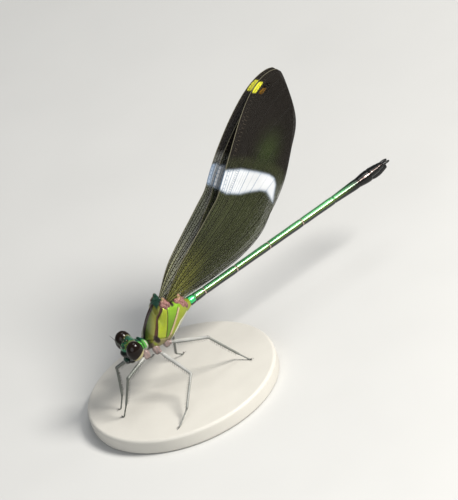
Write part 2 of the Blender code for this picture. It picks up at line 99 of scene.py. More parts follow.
# Finishes: roughness, metallic, coat, grain per metre, grain depth in mm, mottle, specular
FINISHES = {
    "thorax": (0.38, 0.30, 0.1, 2600.0, 0.012, 0.14, 0.5),
    "collar": (0.32, 0.50, 0.1, 3200.0, 0.014, 0.25, 0.5),
    "abdomen": (0.26, 0.60, 0.2, 2600.0, 0.006, 0.10, 0.5),
    "club": (0.36, 0.0, 0.0, 2600.0, 0.006, 0.15, 0.3),
    "head": (0.28, 0.70, 0.3, 4200.0, 0.016, 0.35, 0.5),
    "mouth": (0.20, 0.2, 0.5, 4200.0, 0.010, 0.25, 0.5),
    "eye": (0.16, 0.0, 0.0, 900.0, 0.004, 0.25, 0.2),
    "wing_root": (0.52, 0.0, 0.0, 3600.0, 0.020, 0.30, 0.35),
    "leg": (0.42, 0.0, 0.1, 3600.0, 0.010, 0.18, 0.5),
    "spine": (0.35, 0.0, 0.2, 3600.0, 0.004, 0.2, 0.5),
    "membrane": (0.45, 0.0, 0.0, 700.0, 0.008, 0.18, 0.08),
    "vein": (0.50, 0.0, 0.0, 2000.0, 0.004, 0.25, 0.2),
    "base": (0.55, 0.0, 0.0, 900.0, 0.020, 0.03, 0.5),
    "floor": (0.75, 0.0, 0.0, 60.0, 0.05, 0.02, 0.5),
}
PLAIN_FINISHES = ("base", "floor")
FACETS_PER_METRE = 16000.0

# Points of each surface: rows along it and columns round or across it
GRIDS = {
    "thorax": (290, 320),
    "collar": (120, 120),
    "abdomen": (900, 96),
    "blades": (40, 40),
    "head": (240, 300),
    "eye": (120, 160),
    "mouth": (80, 100),
    "hip": (60, 70),
    "membrane": (300, 76),
    "root": (120, 140),
}

# Thorax and first segment: (back, half width, top, bottom)
THORAX = (
    (-9.55, 0.80, -1.10, -2.40),
    (-9.10, 1.05, -0.70, -2.55),
    (-8.30, 1.70, 0.95, -2.95),
    (-7.20, 2.05, 2.30, -3.10),
    (-6.20, 2.15, 3.10, -3.20),
    (-5.20, 2.15, 3.45, -3.15),
    (-4.20, 2.10, 3.20, -2.65),
    (-3.20, 2.00, 2.70, -2.00),
    (-2.20, 1.80, 2.20, -1.40),
    (-1.20, 1.35, 1.55, -0.98),
    (-0.15, 0.80, 0.82, -0.78),
    (0.25, 0.60, 0.62, -0.60),
)
NECK = (
    (-11.55, 0.45, -0.45, -1.15),
    (-10.95, 0.60, -0.42, -1.45),
    (-10.65, 1.18, -0.07, -2.03),
    (-10.40, 1.25, -0.02, -2.28),
    (-10.05, 1.12, -0.28, -2.35),
    (-9.70, 1.30, -0.02, -2.42),
    (-9.35, 1.18, -0.35, -2.42),
    (-9.05, 0.85, -0.85, -2.30),
)
NECK_SQUARENESS = 2.2
# The thorax is a steep roof in front and boxy between the wings. Its seams in the side view are
# lines through places (back, up), each with its width
THORAX_SQUARENESS = 2.6
ROOF_SQUARENESS = 1.12
ROOF_ENDS = (-6.4, -4.9)
SHOULDER_SEAM = ((-5.30, 2.66), (-6.41, 1.42), (-7.85, -0.60))
MIDDLE_SEAM = ((-4.50, 2.15), (-6.25, -1.30))
REAR_SEAM = ((-2.75, 1.22), (-5.60, -1.62))
LOWER_EDGE = ((-1.20, -0.42), (-3.10, -0.90), (-4.30, -1.80), (-5.20, -2.70))
FOOT_EDGE = ((-9.20, -0.85), (-7.35, -1.30), (-6.30, -1.85), (-5.30, -1.95))
SEAMS = ((SHOULDER_SEAM, 0.10), (MIDDLE_SEAM, 0.08), (REAR_SEAM, 0.10), (FOOT_EDGE, 0.10))
KEEL_WIDTH = 0.10
KEEL_HEIGHT = 0.07
HUMPS = (-4.35, -2.35)
HUMP_HEIGHT = 0.20
# Black spot and pale bar (back, up) above the middle leg
FOOT_SPOT = (-7.85, -1.15)
FOOT_BAR = (-8.30, -1.75)
# How far the painted skins lie inside the plain hull
INSET = 0.01

# Abdomen: length, front radius, rear radius, waist, lift and flatness of each segment
SEGMENTS = (
    (1.10, 0.80, 0.76, 1.00, 0.00, 1.00),
    (1.97, 0.74, 0.66, 1.00, 0.00, 1.00),
    (6.28, 0.66, 0.66, 0.97, 0.00, 1.00),
    (6.50, 0.65, 0.66, 0.97, 0.00, 1.00),
    (6.54, 0.65, 0.66, 0.97, 0.00, 1.00),
    (6.31, 0.65, 0.67, 0.97, 0.00, 1.00),
    (4.87, 0.66, 0.80, 1.00, 0.00, 1.00),
    (2.35, 0.82, 0.98, 1.03, 0.00, 1.00),
    (1.75, 0.92, 0.80, 1.00, 0.22, 0.80),
    (1.05, 0.68, 0.52, 1.00, 0.25, 0.82),
)
JOINTS = np.concatenate(((0.0,), np.cumsum([segment[0] for segment in SEGMENTS])))
JOINT_GAP = 0.06
# Egg-laying blades: (back from the ninth segment's start, half width, top, bottom)
BLADES = (
    (-0.3, 0.30, -0.20, -0.72),
    (0.4, 0.40, -0.10, -1.06),
    (1.2, 0.40, -0.05, -1.16),
    (2.1, 0.34, 0.00, -1.06),
    (3.2, 0.20, -0.05, -0.72),
)

# Head: centre, turn, eyes, and the rounded forms of the capsule (centre, radii)
HEAD_PLACE = np.array((0.0, -11.65, -0.4))
HEAD_TURN = math.radians(-10.0)
EYE_PLACE = np.array((2.10, -0.05, 0.05))
EYE_RADII = np.array((1.18, 1.30, 1.62))
EYE_RIM_WAY = np.array((0.125, 0.404, -0.906))
SKULL_CENTRE = np.array((0.0, -0.10, -0.20))
SKULL = (
    ((0.0, 0.10, -0.10), (2.45, 1.02, 1.38)),
    ((0.0, 0.00, 0.30), (1.30, 0.98, 1.05)),
    ((0.0, -0.42, 0.00), (1.15, 0.98, 0.95)),
    ((0.0, -0.52, -0.62), (1.18, 1.22, 0.58)),
    ((0.0, -0.50, -0.88), (1.00, 1.14, 0.74)),
    ((0.70, -0.35, -0.72), (0.98, 0.88, 1.12)),
    ((-0.70, -0.35, -0.72), (0.98, 0.88, 1.12)),
    ((1.05, 0.35, -0.08), (1.62, 0.80, 1.26)),
    ((-1.05, 0.35, -0.08), (1.62, 0.80, 1.26)),
)
# The three simple eyes
OCELLI = ((0.0, -0.62, 1.20), (0.42, -0.22, 1.34), (-0.42, -0.22, 1.34))
OCELLUS_RADII = (0.12, 0.12, 0.11)
# Painted glints: pale flecks on the brow; and grooves across the face (height, width, depth, where it
# starts)
HEAD_GLINTS = ((0.62, -0.85, 0.95), (-0.62, -0.85, 0.95), (0.95, -0.05, 1.05), (-0.95, -0.05, 1.05))
FACE_GROOVES = ((-0.14, 0.06, 0.06, -0.9), (-1.02, 0.05, 0.05, -1.0))
LIP = ((0.0, -1.18, -1.98), (0.94, 0.50, 0.50))
JAWS_CENTRE = (0.0, -0.5, -2.1)
JAWS = (
    ((0.0, -0.42, -2.15), (0.85, 0.70, 0.60)),
    ((0.45, -0.55, -2.00), (0.60, 0.62, 0.60)),
    ((-0.45, -0.55, -2.00), (0.60, 0.62, 0.60)),
)
FEELER = (
    (0.62, -1.12, 0.45),
    (0.66, -1.32, 0.80),
    (0.74, -1.45, 1.20),
    (0.92, -1.70, 1.95),
    (1.15, -2.05, 2.65),
)
FEELER_RADII = (0.13, 0.13, 0.080, 0.032, 0.015)
FEELER_JOINTS = (0.27, 0.5)

# Legs: coxa, knee, ankle and foot of each; the feet stand on the base, so they have no height
LEGS = {
    "leg_fore_left": ((0.95, -10.0, -2.80), (2.0, -14.8, -3.7), (0.5, -16.0, -8.3), (-0.6, -16.6)),
    "leg_fore_right": ((-0.95, -10.0, -2.80), (-3.1, -13.6, -4.3), (-2.6, -14.7, -8.6), (-2.9, -15.6)),
    "leg_mid_left": ((1.2, -8.25, -2.95), (6.5, -6.9, -6.5), (9.3, -11.0, -9.4), (10.1, -13.4)),
    "leg_mid_right": ((-1.2, -8.25, -2.95), (-7.4, -9.5, -4.2), (-8.6, -6.6, -9.2), (-9.6, -4.7)),
    "leg_hind_left": ((1.2, -6.35, -2.90), (5.0, -1.4, -3.9), (4.7, 2.4, -9.8), (6.2, 3.0)),
    "leg_hind_right": ((-1.2, -6.35, -2.90), (-5.0, -1.5, -4.0), (-4.8, -2.9, -9.5), (-5.3, -1.7)),
}
COXA_RADII = np.array((0.52, 0.60, 0.88))
# Radius at shares of the way from coxa to knee, from knee to ankle and from ankle to foot
THIGH = (
    (0.04, 0.26),
    (0.10, 0.25),
    (0.15, 0.21),
    (0.20, 0.31),
    (0.35, 0.32),
    (0.60, 0.29),
    (0.85, 0.25),
    (0.95, 0.25),
    (1.00, 0.27),
)
SHIN = ((0.05, 0.23), (0.10, 0.20), (0.4, 0.19), (0.75, 0.18), (0.96, 0.19), (1.0, 0.16))
FOOT = ((0.18, 0.115), (0.30, 0.14), (0.33, 0.10), (0.60, 0.13), (0.64, 0.095), (0.95, 0.12), (1.0, 0.10))
FOOT_HEIGHT = 0.12
TOE_HEIGHT = 0.08
LEG_STATIONS = 260
LEG_SIDES = 18
LEG_BEND = 13
# Bristles: radii from root to tip, the stretch of leg they stand on, and how far they lean to the
# side and towards the foot
BRISTLE_RADII = (0.044, 0.036, 0.024, 0.006)
BRISTLE_SPAN = (0.10, 0.94)
BRISTLE_LEAN = 0.55
BRISTLE_RAKE = 0.55
THIGH_BRISTLES = 26
SHIN_BRISTLES = 28

# Wings: length, rise, root, the heights of the leading edge above the wing's axis and of the
# trailing edge below it at even steps from root to tip, the notch in the leading edge (place,
# width, depth), the membrane's distance from the middle at the tip, along the wing and at the
# root, and the rounded forms of the folded plates at the root (centre, radii)
FORE_WING = {
    "length": 38.6,
    "rise": math.radians(33.6),
    "root": (-4.2, 3.74),
    "lead": (-0.7, 0.25, 0.3, 0.25, 0.8, 1.85, 2.75, 3.3, 3.3),
    "trail": (1.6, 5.2, 8.1, 10.0, 10.2, 9.9, 8.8, 7.7, 3.6),
    "nodus": (0.45, 0.05, 0.3),
    "lay": (0.5, 1.8, 0.9),
    "plates": (
        ((1.10, -4.45, 3.10), (0.46, 0.72, 0.62)),
        ((1.22, -4.80, 2.95), (0.44, 0.42, 0.50)),
        ((1.40, -4.55, 2.50), (0.44, 0.44, 0.62)),
        ((1.42, -4.00, 2.65), (0.40, 0.46, 0.62)),
        ((1.05, -4.25, 3.65), (0.30, 0.32, 0.48)),
    ),
}
HIND_WING = {
    "length": 36.5,
    "rise": math.radians(37.5),
    "root": (-1.55, 2.46),
    "lead": (-0.3, -0.1, 0.2, 0.8, 1.5, 2.1, 2.25, 2.15, 1.7),
    "trail": (1.0, 4.7, 7.85, 9.6, 9.5, 9.2, 8.2, 7.0, 5.4),
    "nodus": (0.42, 0.05, 0.3),
    "lay": (0.3, 0.8, 0.9),
    "plates": (
        ((1.00, -1.75, 1.70), (0.50, 0.85, 0.72)),
        ((1.15, -2.30, 2.10), (0.42, 0.45, 0.50)),
        ((1.20, -1.70, 1.05), (0.44, 0.55, 0.60)),
        ((1.12, -1.10, 0.60), (0.36, 0.42, 0.62)),
        ((0.95, -1.60, 2.55), (0.28, 0.36, 0.50)),
    ),
}
WINGS = {"wing_fore": FORE_WING, "wing_hind": HIND_WING}
TIP_POWER = 12.0
TIP_SHARE = 0.998
TIP_ROUND = 0.6
BOW_FADES = (0.52, 0.98)
# Long veins: where the main ones start, how fast they run together, the thickness of each finer
# level, and how far apart two may draw before a finer one starts between them
MAIN_VEINS = (0.030, 0.075, 0.135, 0.22, 0.33, 0.46, 0.60, 0.76, 0.90)
FLOW = 0.62
LEVEL_SHARES = (1.0, 0.55, 0.40, 0.30, 0.26)
WIDEST_GAP = 0.66
VEIN_END = 0.9985
# Cross veins: the shares along the wing they fill, the narrowest gap they close in mm, and the
# width of the ladder along the leading edge, where they stand twice as far apart
CROSS_SPAN = (0.035, 0.985)
NARROWEST_GAP = 0.08
LADDER_WIDTH = 1.6
# The spot near the tip: share along the wing, its half length as a share, and distance inward
SPOT_SHARE = 0.899
SPOT_HALF = 0.026
SPOT_INWARD = 0.55
# The white band's outline on a fore wing, along the wing and up from its axis
BAND = (
    (20.9, 2.2),
    (22.7, -1.4),
    (23.5, -4.3),
    (24.0, -6.7),
    (23.9, -7.8),
    (23.2, -8.6),
    (20.6, -9.7),
    (21.6, -7.6),
    (21.3, -6.4),
    (20.3, -4.7),
    (19.4, -3.3),
    (18.5, -1.0),
    (18.5, 2.0),
)


def srgb(red, green, blue):
    """A display colour of 0 to 255 as linear light."""
    shares = np.array((red, green, blue)) / 255
    return tuple(np.where(shares <= 0.04045, shares / 12.92, ((shares + 0.055) / 1.055) ** 2.4))


def colour(name, description, *shades):
    return bpy.props.FloatVectorProperty(
        name=name,
        description=description,
        subtype="COLOR",
        size=3,
        min=0.0,
        max=1.0,
        default=srgb(*shades),
    )


def length(name, description, millimetres):
    return bpy.props.FloatProperty(
        name=name,
        description=description,
        unit="LENGTH",
        subtype="DISTANCE",
        min=0.0,
        precision=6,
        default=millimetres * MM,
    )


class DamselflySizes(bpy.types.PropertyGroup):
    membrane: length("Membrane", "Thickness of a wing membrane", 0.04)
    pleat: length("Pleat", "Height of the folds between the long veins", 0.06)
    vein: length("Vein", "Radius of a main vein", 0.07)
    cross_vein: length("Cross vein", "Radius of a cross vein near the leading edge", 0.04)
    cell: length("Cell", "Length of a wing cell", 0.32)
    spine: length("Leg spine", "Length of the longest leg spines", 0.62)
    seam: length("Body seam", "Depth of the seams on the thorax", 0.09)
    camera_distance: length("Camera distance", "How far the camera stands from the hub", 1200.0)
    floor: length("Floor", "Half the width of the floor", 1500.0)


class DamselflyColours(bpy.types.PropertyGroup):
    plate_front: colour("Front plate", "Dark olive green of the thorax's front plates", 66, 80, 10)
    plate_rim: colour("Front plate rim", "Yellower green beside the shoulder stripe", 118, 116, 36)
    plate_side: colour("Side plate", "Yellow-green of the side plates", 140, 152, 36)
    plate_bright: colour("Bright plate", "Clear green of the plate between the rear seams", 108, 146, 28)
    plate_stripe: colour("Stripe", "Maroon-brown of the shoulder stripe", 66, 36, 24)
    suture: colour("Rear seam", "Cream-pink ridge of the rear side seam", 186, 164, 130)
    pale_edge: colour("Pale edge", "Chalky white of the thorax's lower rear edge", 205, 205, 190)
    pink: colour("Wing root", "Mauve pink of the wing root plates", 142, 100, 94)
    collar: colour("Collar", "Bright green of the first segment's sides", 84, 160, 70)
    abdomen_top: colour("Abdomen top", "Metallic green of the abdomen's back", 84, 150, 96)
    abdomen_side: colour("Abdomen side", "Bronze-green of the abdomen's sides", 92, 104, 56)
    abdomen_under: colour("Abdomen underside", "Blue-grey of the abdomen's underside", 40, 50, 54)
    first_green: colour("First segment", "Turquoise of the abdomen's first segment", 60, 190, 110)
    # The ring colour also serves as the painted highlight along the club
    ring: colour("Ring", "Pale ring at the joints of the abdomen", 196, 170, 162)
    club: colour("Club", "Glossy black of the abdomen's end", 16, 17, 16)
    head_green: colour("Head", "Metallic turquoise-green of the top of the head", 30, 92, 70)
    face: colour("Face", "Green-black of the face", 12, 20, 14)
    eye: colour("Eye", "Near black of the eyes", 21, 13, 9)
    eye_rim: colour("Eye rim", "Cream edge below and behind the eyes", 176, 168, 124)
    leg_pale: colour("Leg", "Pale grey of the legs", 158, 158, 154)
    # The leg underside colour is the shins' grey-green and also the painted shade on the legs' undersides
    # and the fore legs
    leg_dark: colour("Leg underside", "Grey-green of the shins and the legs' underside", 74, 80, 72)
    spine: colour("Spines", "Black-brown of the leg spines", 24, 20, 18)
    smoke: colour("Wing base", "Smoky olive of the inner half of the wings", 62, 66, 44)
    root_stain: colour("Wing root stain", "Yellowish olive close to the wing roots", 128, 128, 62)
    dark: colour("Wing end", "Black-brown of the outer half of the wings", 30, 27, 24)
    band: colour("Band", "White of the wing band", 236, 238, 240)
    # The band edge colour also serves as painted shade along the right fore wing's leading edge
    band_edge: colour("Band edge", "Bluish edge of the wing band", 140, 165, 195)
    spot: colour("Wing spot", "Yellow of the spot near the fore wing's tip", 216, 214, 60)
    rear_spot: colour("Rear wing spot", "Amber of the spot near the hind wing's tip", 222, 160, 34)
    vein: colour("Veins", "Black-brown of the veins", 20, 17, 14)
    vein_end: colour("Outer veins", "Brown of the fine veins in the wing's outer half", 74, 66, 56)
    costa: colour("Front vein", "Lighter brown of the leading edge", 96, 92, 76)
    base: colour("Base", "Pale paint of the display base", 196, 193, 185)
    floor: colour("Floor", "Pale floor", 196, 196, 194)


def sizes():
    return bpy.context.scene.damselfly_sizes


def colours(name):
    return np.array(getattr(bpy.context.scene.damselfly_colours, name))


def world(points):
    """Body places in millimetres as metres in the model's frame."""
    return (np.asarray(points, float) + HUB) * MM


def on_head(points):
    """Places told from the head's centre, turned with the head, as body places."""
    c, s = math.cos(HEAD_TURN), math.sin(HEAD_TURN)
    turn = np.array(((c, s, 0.0), (-s, c, 0.0), (0.0, 0.0, 1.0)))
    return np.asarray(points, float) @ turn + HEAD_PLACE


def unit(vectors):
    """The same directions with length 1."""
    return vectors / np.linalg.norm(vectors, axis=-1, keepdims=True)


def step(low, high, value):
    """0 below low, 1 above high and a smooth cubic between."""
    t = np.clip((value - low) / (high - low), 0.0, 1.0)
    return t * t * (3 - 2 * t)


def line_mask(distance, half_width, soft):
    """1 on a line, falling to 0 over a soft edge on both sides."""
    return 1 - step(half_width - soft, half_width + soft, np.abs(distance))


def filled(name, shape):
    """One named colour at every point."""
    return np.broadcast_to(colours(name), shape).copy()


def mix(base, other, share):
    return base + (np.asarray(other) - base) * np.asarray(share)[..., None]


def coats(tint, *layers):
    """Paints layers (a colour or its name, share) over a tint, one after the other."""
    for tone, share in layers:
        tint = mix(tint, colours(tone) if isinstance(tone, str) else tone, share)
    return tint


def lattice(rows, cols, wrap):
    """Quads of a grid of rows x cols points; wrap joins the last column to the first."""
    i = np.arange(rows - 1)[:, None] * cols
    j = np.arange(cols if wrap else cols - 1)[None, :]
    k = (j + 1) % cols
    return np.stack(np.broadcast_arrays(i + j, i + cols + j, i + cols + k, i + k), -1).reshape(-1, 4)


def outward(points, quads, tris):
    """Turns all faces round where the signed volume of the shell is negative."""
    parts = np.concatenate((quads[:, (0, 1, 2)], quads[:, (0, 2, 3)], tris))
    a, b, c = (points[parts[:, n]] - points.mean(0) for n in range(3))
    if np.einsum("ij,ij->", a, np.cross(b, c)) < 0:
        return quads[:, ::-1], tris[:, ::-1]
    return quads, tris


def end_fans(sides, size):
    """Triangles that close the first and the last of the rings' size points, each with the ring's
    middle point, which comes after them."""
    j = np.arange(sides)
    k = (j + 1) % sides
    first = np.stack((np.full(sides, size), j, k), -1)
    last = np.stack((np.full(sides, size + 1), size - sides + k, size - sides + j), -1)
    return np.concatenate((first, last))


def closed(rings):
    """A closed shell from rings (rows, cols, 3): quads between them and a fan at each end."""
    rows, cols = rings.shape[:2]
    points = with_ends(rings)
    return (points, *outward(points, lattice(rows, cols, True), end_fans(cols, rows * cols)))


def with_ends(values):
    """Values at every point of the rings, and at the middle of the first and the last ring."""
    flat = values.reshape(-1, *values.shape[2:])
    return np.concatenate((flat, values[0].mean(0)[None], values[-1].mean(0)[None]))


def join(shells):
    """Several shells as one list of points and faces."""
    points, quads, tris = zip(*shells)
    lifts = np.cumsum([0, *(len(p) for p in points[:-1])])
    quads = [faces + lift for faces, lift in zip(quads, lifts)]
    tris = [faces + lift for faces, lift in zip(tris, lifts)]
    return np.concatenate(points), np.concatenate(quads), np.concatenate(tris)


def tubes(paths, radii, sides, guide):
    """Many round tubes at once, each on its path (tubes, stations, 3).

    A corner is the path's point plus radius x (cos a x side + sin a x top), where side is
    square to the path and the guide, and top is square to both.
    """
    paths = np.asarray(paths, float)
    radii = np.broadcast_to(np.asarray(radii, float), paths.shape[:2])
    along = unit(np.gradient(paths, axis=1))
    side = unit(np.cross(along, np.asarray(guide, float)))
    top = np.cross(side, along)
    angle = 2 * np.pi * (np.arange(sides) + 0.5) / sides
    spokes = side[:, :, None] * np.cos(angle)[:, None] + top[:, :, None] * np.sin(angle)[:, None]
    rings = paths[:, :, None] + spokes * radii[:, :, None, None]
    count, stations = paths.shape[:2]
    points = np.concatenate((rings.reshape(count, -1, 3), paths[:, :1], paths[:, -1:]), 1)
    fans = end_fans(sides, stations * sides)
    quads, tris = outward(points[0], lattice(stations, sides, True), fans)
    lift = (np.arange(count) * points.shape[1])[:, None, None]
    return points.reshape(-1, 3), (quads + lift).reshape(-1, 4), (tris + lift).reshape(-1, 3)


def smooth_rows(table, t):
    """A cubic through the rows of a table, read at shares t of its length."""
    table = np.asarray(table, float)
    spans = len(table) - 1
    slopes = np.gradient(table, axis=0)
    i = np.minimum((t * spans).astype(int), spans - 1)
    x = (t * spans - i)[:, None]
    return (
        (2 * x**3 - 3 * x**2 + 1) * table[i]
        + (x**3 - 2 * x**2 + x) * slopes[i]
        + (3 * x**2 - 2 * x**3) * table[i + 1]
        + (x**3 - x**2) * slopes[i + 1]
    )


def hull(stations, rows, cols, squareness, roof=None):
    """Upright rings along the body; each ring is |x/w|^q + |z/h|^q = 1 with q the squareness.

    Where roof is given, it tells q of the upper half from the place along the body.
    """
    table = smooth_rows(stations, np.linspace(0, 1, rows))
    back, half_width, top, bottom = (table[:, n, None] for n in range(4))
    angle = 2 * np.pi * np.arange(cols) / cols
    c, s = np.cos(angle), np.sin(angle)
    power = 2 / np.where(s > 0, roof(back) if roof else squareness, squareness)
    across = np.sign(c) * np.abs(c) ** power * half_width
    height = np.sign(s) * np.abs(s) ** power * (top - bottom) / 2 + (top + bottom) / 2
    return np.stack((across, back + 0 * across, height), -1)


def thorax_roof(back):
    """Squareness of the thorax's upper half: a steep roof in front, boxy between the wings."""
    return ROOF_SQUARENESS + (THORAX_SQUARENESS - ROOF_SQUARENESS) * step(*ROOF_ENDS, back)


def raised(rings, height):
    """The rings moved along their unit normals, the cross product of the surface's two directions."""
    normal = np.cross(np.gradient(rings, axis=0), np.roll(rings, -1, 1) - np.roll(rings, 1, 1))
    normal /= np.maximum(np.linalg.norm(normal, axis=2, keepdims=True), 1e-9)
    out = rings - rings.mean(1, keepdims=True)
    return rings + normal * np.sign((normal * out).sum(-1).mean()) * height[..., None]


def swollen(rings, centre, height):
    """The rings moved straight away from a centre."""
    return rings + unit(rings - centre) * height[..., None]


def blob(forms, centre, rows, cols, blend=9.0):
    """Ellipsoids melted into one star-shaped skin.

    Each direction from the centre leaves each ellipsoid at one distance, and the skin lies at
    the smooth maximum of those, log(sum(exp(blend x distance))) / blend.
    """
    polar = np.linspace(0.004, np.pi - 0.004, rows)[:, None]
    turn = (2 * np.pi * np.arange(cols) / cols)[None]
    ways = (np.sin(polar) * np.cos(turn), np.sin(polar) * np.sin(turn), np.cos(polar) + 0 * turn)
    ways = np.stack(ways, -1)
    total = np.zeros(ways.shape[:2])
    for place, radii in forms:
        away, radii = centre - np.asarray(place, float), np.asarray(radii, float)
        a = ((ways / radii) ** 2).sum(-1)
        b = (ways * away / radii**2).sum(-1)
        c = ((away / radii) ** 2).sum() - 1
        reach = (-b + np.sqrt(np.maximum(b * b - a * c, 0))) / a
        total += np.exp(blend * reach)
    return centre + ways * (np.log(total) / blend)[..., None]


def egg(place, radii, rows=24, cols=32):
    """A closed ellipsoid shell round a place."""
    return closed(blob(((place, radii),), np.asarray(place, float), rows, cols))


def seam_distance(back, up, seam):
    """Signed distance in the side view from a line of places, positive on its rear side, and the
    share along it. The line's two ends run on straight."""
    away = np.full(np.shape(back), 1e9)
    share = np.zeros(np.shape(back))
    spans = len(seam) - 1
    for number, ((b0, u0), (b1, u1)) in enumerate(zip(seam[:-1], seam[1:])):
        run_back, run_up = b1 - b0, u1 - u0
        along = ((back - b0) * run_back + (up - u0) * run_up) / math.hypot(run_back, run_up) ** 2
        near = np.clip(along, -9.0 if number == 0 else 0.0, 9.0 if number == spans - 1 else 1.0)
        apart = np.hypot(back - b0 - near * run_back, up - u0 - near * run_up)
        side = np.sign((up - u0) * run_back - (back - b0) * run_up)
        closer = apart < np.abs(away)
        away = np.where(closer, apart * side, away)
        share = np.where(closer, (number + along) / spans, share)
    return away, share


def piece(name, shell, tint, finish, slot, *replaced, cover=None):
    """Makes one object of a shell, with its finish and colours, riding on the body."""
    points, quads, tris = shell
    mesh = bpy.data.meshes.new(name)
    mesh.vertices.add(len(points))
    mesh.vertices.foreach_set("co", world(points).astype(np.float32).ravel())
    corners = np.concatenate((quads.ravel(), tris.ravel())).astype(np.int32)
    mesh.loops.add(len(corners))
    mesh.loops.foreach_set("vertex_index", corners)
    starts = np.concatenate((np.arange(len(quads)) * 4, len(quads) * 4 + np.arange(len(tris)) * 3))
    mesh.polygons.add(len(starts))
    mesh.polygons.foreach_set("loop_start", starts.astype(np.int32))
    mesh.update(calc_edges=True)
    if mesh.validate():
        raise RuntimeError(f"{name} has faulty faces")
    mesh.shade_smooth()
    if tint is not None:
        paint = np.ones((len(points), 4), np.float32)
        paint[:, :3] = tint
        mesh.attributes.new("tint", "FLOAT_COLOR", "POINT").data.foreach_set("color", paint.ravel())
    if cover is not None:
        values = mesh.attributes.new("cover", "FLOAT", "POINT").data
        values.foreach_set("value", cover.astype(np.float32))
    mesh.materials.append(MATERIALS[finish])
    made = bpy.data.objects.new(name, mesh)
    bpy.context.scene.collection.objects.link(made)
    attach(made, BODY)
    if replaced:
        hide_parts(*replaced)


def skin(name, rings, tint, finish, slot, *replaced):
    """Makes one object of rings and of the colours at their points."""
    piece(name, closed(rings), with_ends(tint), finish, slot, *replaced)


def put(node, **values):
    """Sets inputs of a node; a name's underscores stand for the spaces in the input's name."""
    for name, value in values.items():
        node.inputs[name.replace("_", " ")].default_value = value
    return node


def noise_node(tree, place, scale, detail):
    node = put(tree.nodes.new("ShaderNodeTexNoise"), Scale=scale, Detail=detail)
    tree.links.new(place, node.inputs["Vector"])
    return node.outputs["Fac"]


def spread_node(tree, noise, low, high):
    """The middle of a noise's values spread from low to high."""
    node = put(tree.nodes.new("ShaderNodeMapRange"), From_Min=0.3, From_Max=0.7, To_Min=low, To_Max=high)
    tree.links.new(noise, node.inputs["Value"])
    return node.outputs["Result"]


def finish_nodes(name):
    """A procedural finish: the tint attribute or a plain colour, mottled by noise, with a fine grain."""
    roughness, metallic, coat, grain, grain_depth, mottle, specular = FINISHES[name]
    made = bpy.data.materials.new(f"{name}_finish")
    made.use_nodes = True
    tree = made.node_tree
    shader = put(tree.nodes["Principled BSDF"], Metallic=metallic, Coat_Weight=coat, Coat_Roughness=0.08)
    put(shader, Specular_IOR_Level=specular)
    place = tree.nodes.new("ShaderNodeTexCoord").outputs["Object"]
    broad = noise_node(tree, place, grain / 6, 4.0)
    fine = noise_node(tree, place, grain, 3.0)
    shade = spread_node(tree, broad, 1 - mottle, 1 + mottle)
    paint = tree.nodes.new("ShaderNodeMix")
    paint.data_type = "RGBA"
    paint.blend_type = "MULTIPLY"
    put(paint, Factor=1.0)
    if name in PLAIN_FINISHES:
        put(paint, A=(*colours(name), 1.0))
    else:
        tint = tree.nodes.new("ShaderNodeAttribute")
        tint.attribute_name = "tint"
        tree.links.new(tint.outputs["Color"], paint.inputs["A"])
    tree.links.new(shade, paint.inputs["B"])
    tree.links.new(paint.outputs["Result"], shader.inputs["Base Color"])
    gloss = spread_node(tree, fine, roughness * 0.8, min(roughness * 1.25, 1.0))
    tree.links.new(gloss, shader.inputs["Roughness"])
    relief = put(tree.nodes.new("ShaderNodeBump"), Strength=0.5, Distance=grain_depth * MM)
    tree.links.new(fine, relief.inputs["Height"])
    tree.links.new(relief.outputs["Normal"], shader.inputs["Normal"])
    return made


def add_facets(tree):
    """The eye's facets: cells of a Voronoi pattern raise the surface."""
    facets = put(tree.nodes.new("ShaderNodeTexVoronoi"), Scale=FACETS_PER_METRE)
    tree.links.new(tree.nodes["Texture Coordinate"].outputs["Object"], facets.inputs["Vector"])
    tree.links.new(facets.outputs["Distance"], put(tree.nodes["Bump"], Strength=0.12).inputs["Height"])


def add_cover(tree):
    """Makes the wing membrane see-through by the cover attribute."""
    cover = tree.nodes.new("ShaderNodeAttribute")
    cover.attribute_name = "cover"
    tree.links.new(cover.outputs["Fac"], tree.nodes["Principled BSDF"].inputs["Alpha"])


MATERIALS = {}


def make_materials():
    for name in FINISHES:
        MATERIALS[name] = finish_nodes(name)
    add_facets(MATERIALS["eye"].node_tree)
    add_cover(MATERIALS["membrane"].node_tree)


def thorax_relief(rings):
    """How far the thorax stands proud of its plain hull: a keel down the front, low humps between
    the wings, and seams sunk as exp(-(distance / width)^2)."""
    left, back, up = np.moveaxis(rings, -1, 0)
    middle = (rings[..., 2].max(1) + rings[..., 2].min(1))[:, None] / 2
    upper = step(0.0, 0.6, up - middle)
    keel = np.exp(-((left / KEEL_WIDTH) ** 2)) * upper
    relief = KEEL_HEIGHT * keel * step(-9.1, -8.6, back) * (1 - step(-5.4, -4.9, back))
    for top in HUMPS:
        relief += HUMP_HEIGHT * np.exp(-(((back - top) / 0.5) ** 2) - (left / 0.6) ** 2) * upper
    side = step(0.5, 1.0, np.abs(left))
    depth = sizes().seam / MM
    for seam, width in SEAMS:
        away, share = seam_distance(back, up, seam)
        reach = step(-0.15, 0.0, share) * (1 - step(1.0, 1.15, share))
        relief -= depth * np.exp(-((away / width) ** 2)) * side * reach
        relief += 0.35 * depth * np.exp(-(((np.abs(away) - 0.3) / 0.16) ** 2)) * side * reach
    return relief


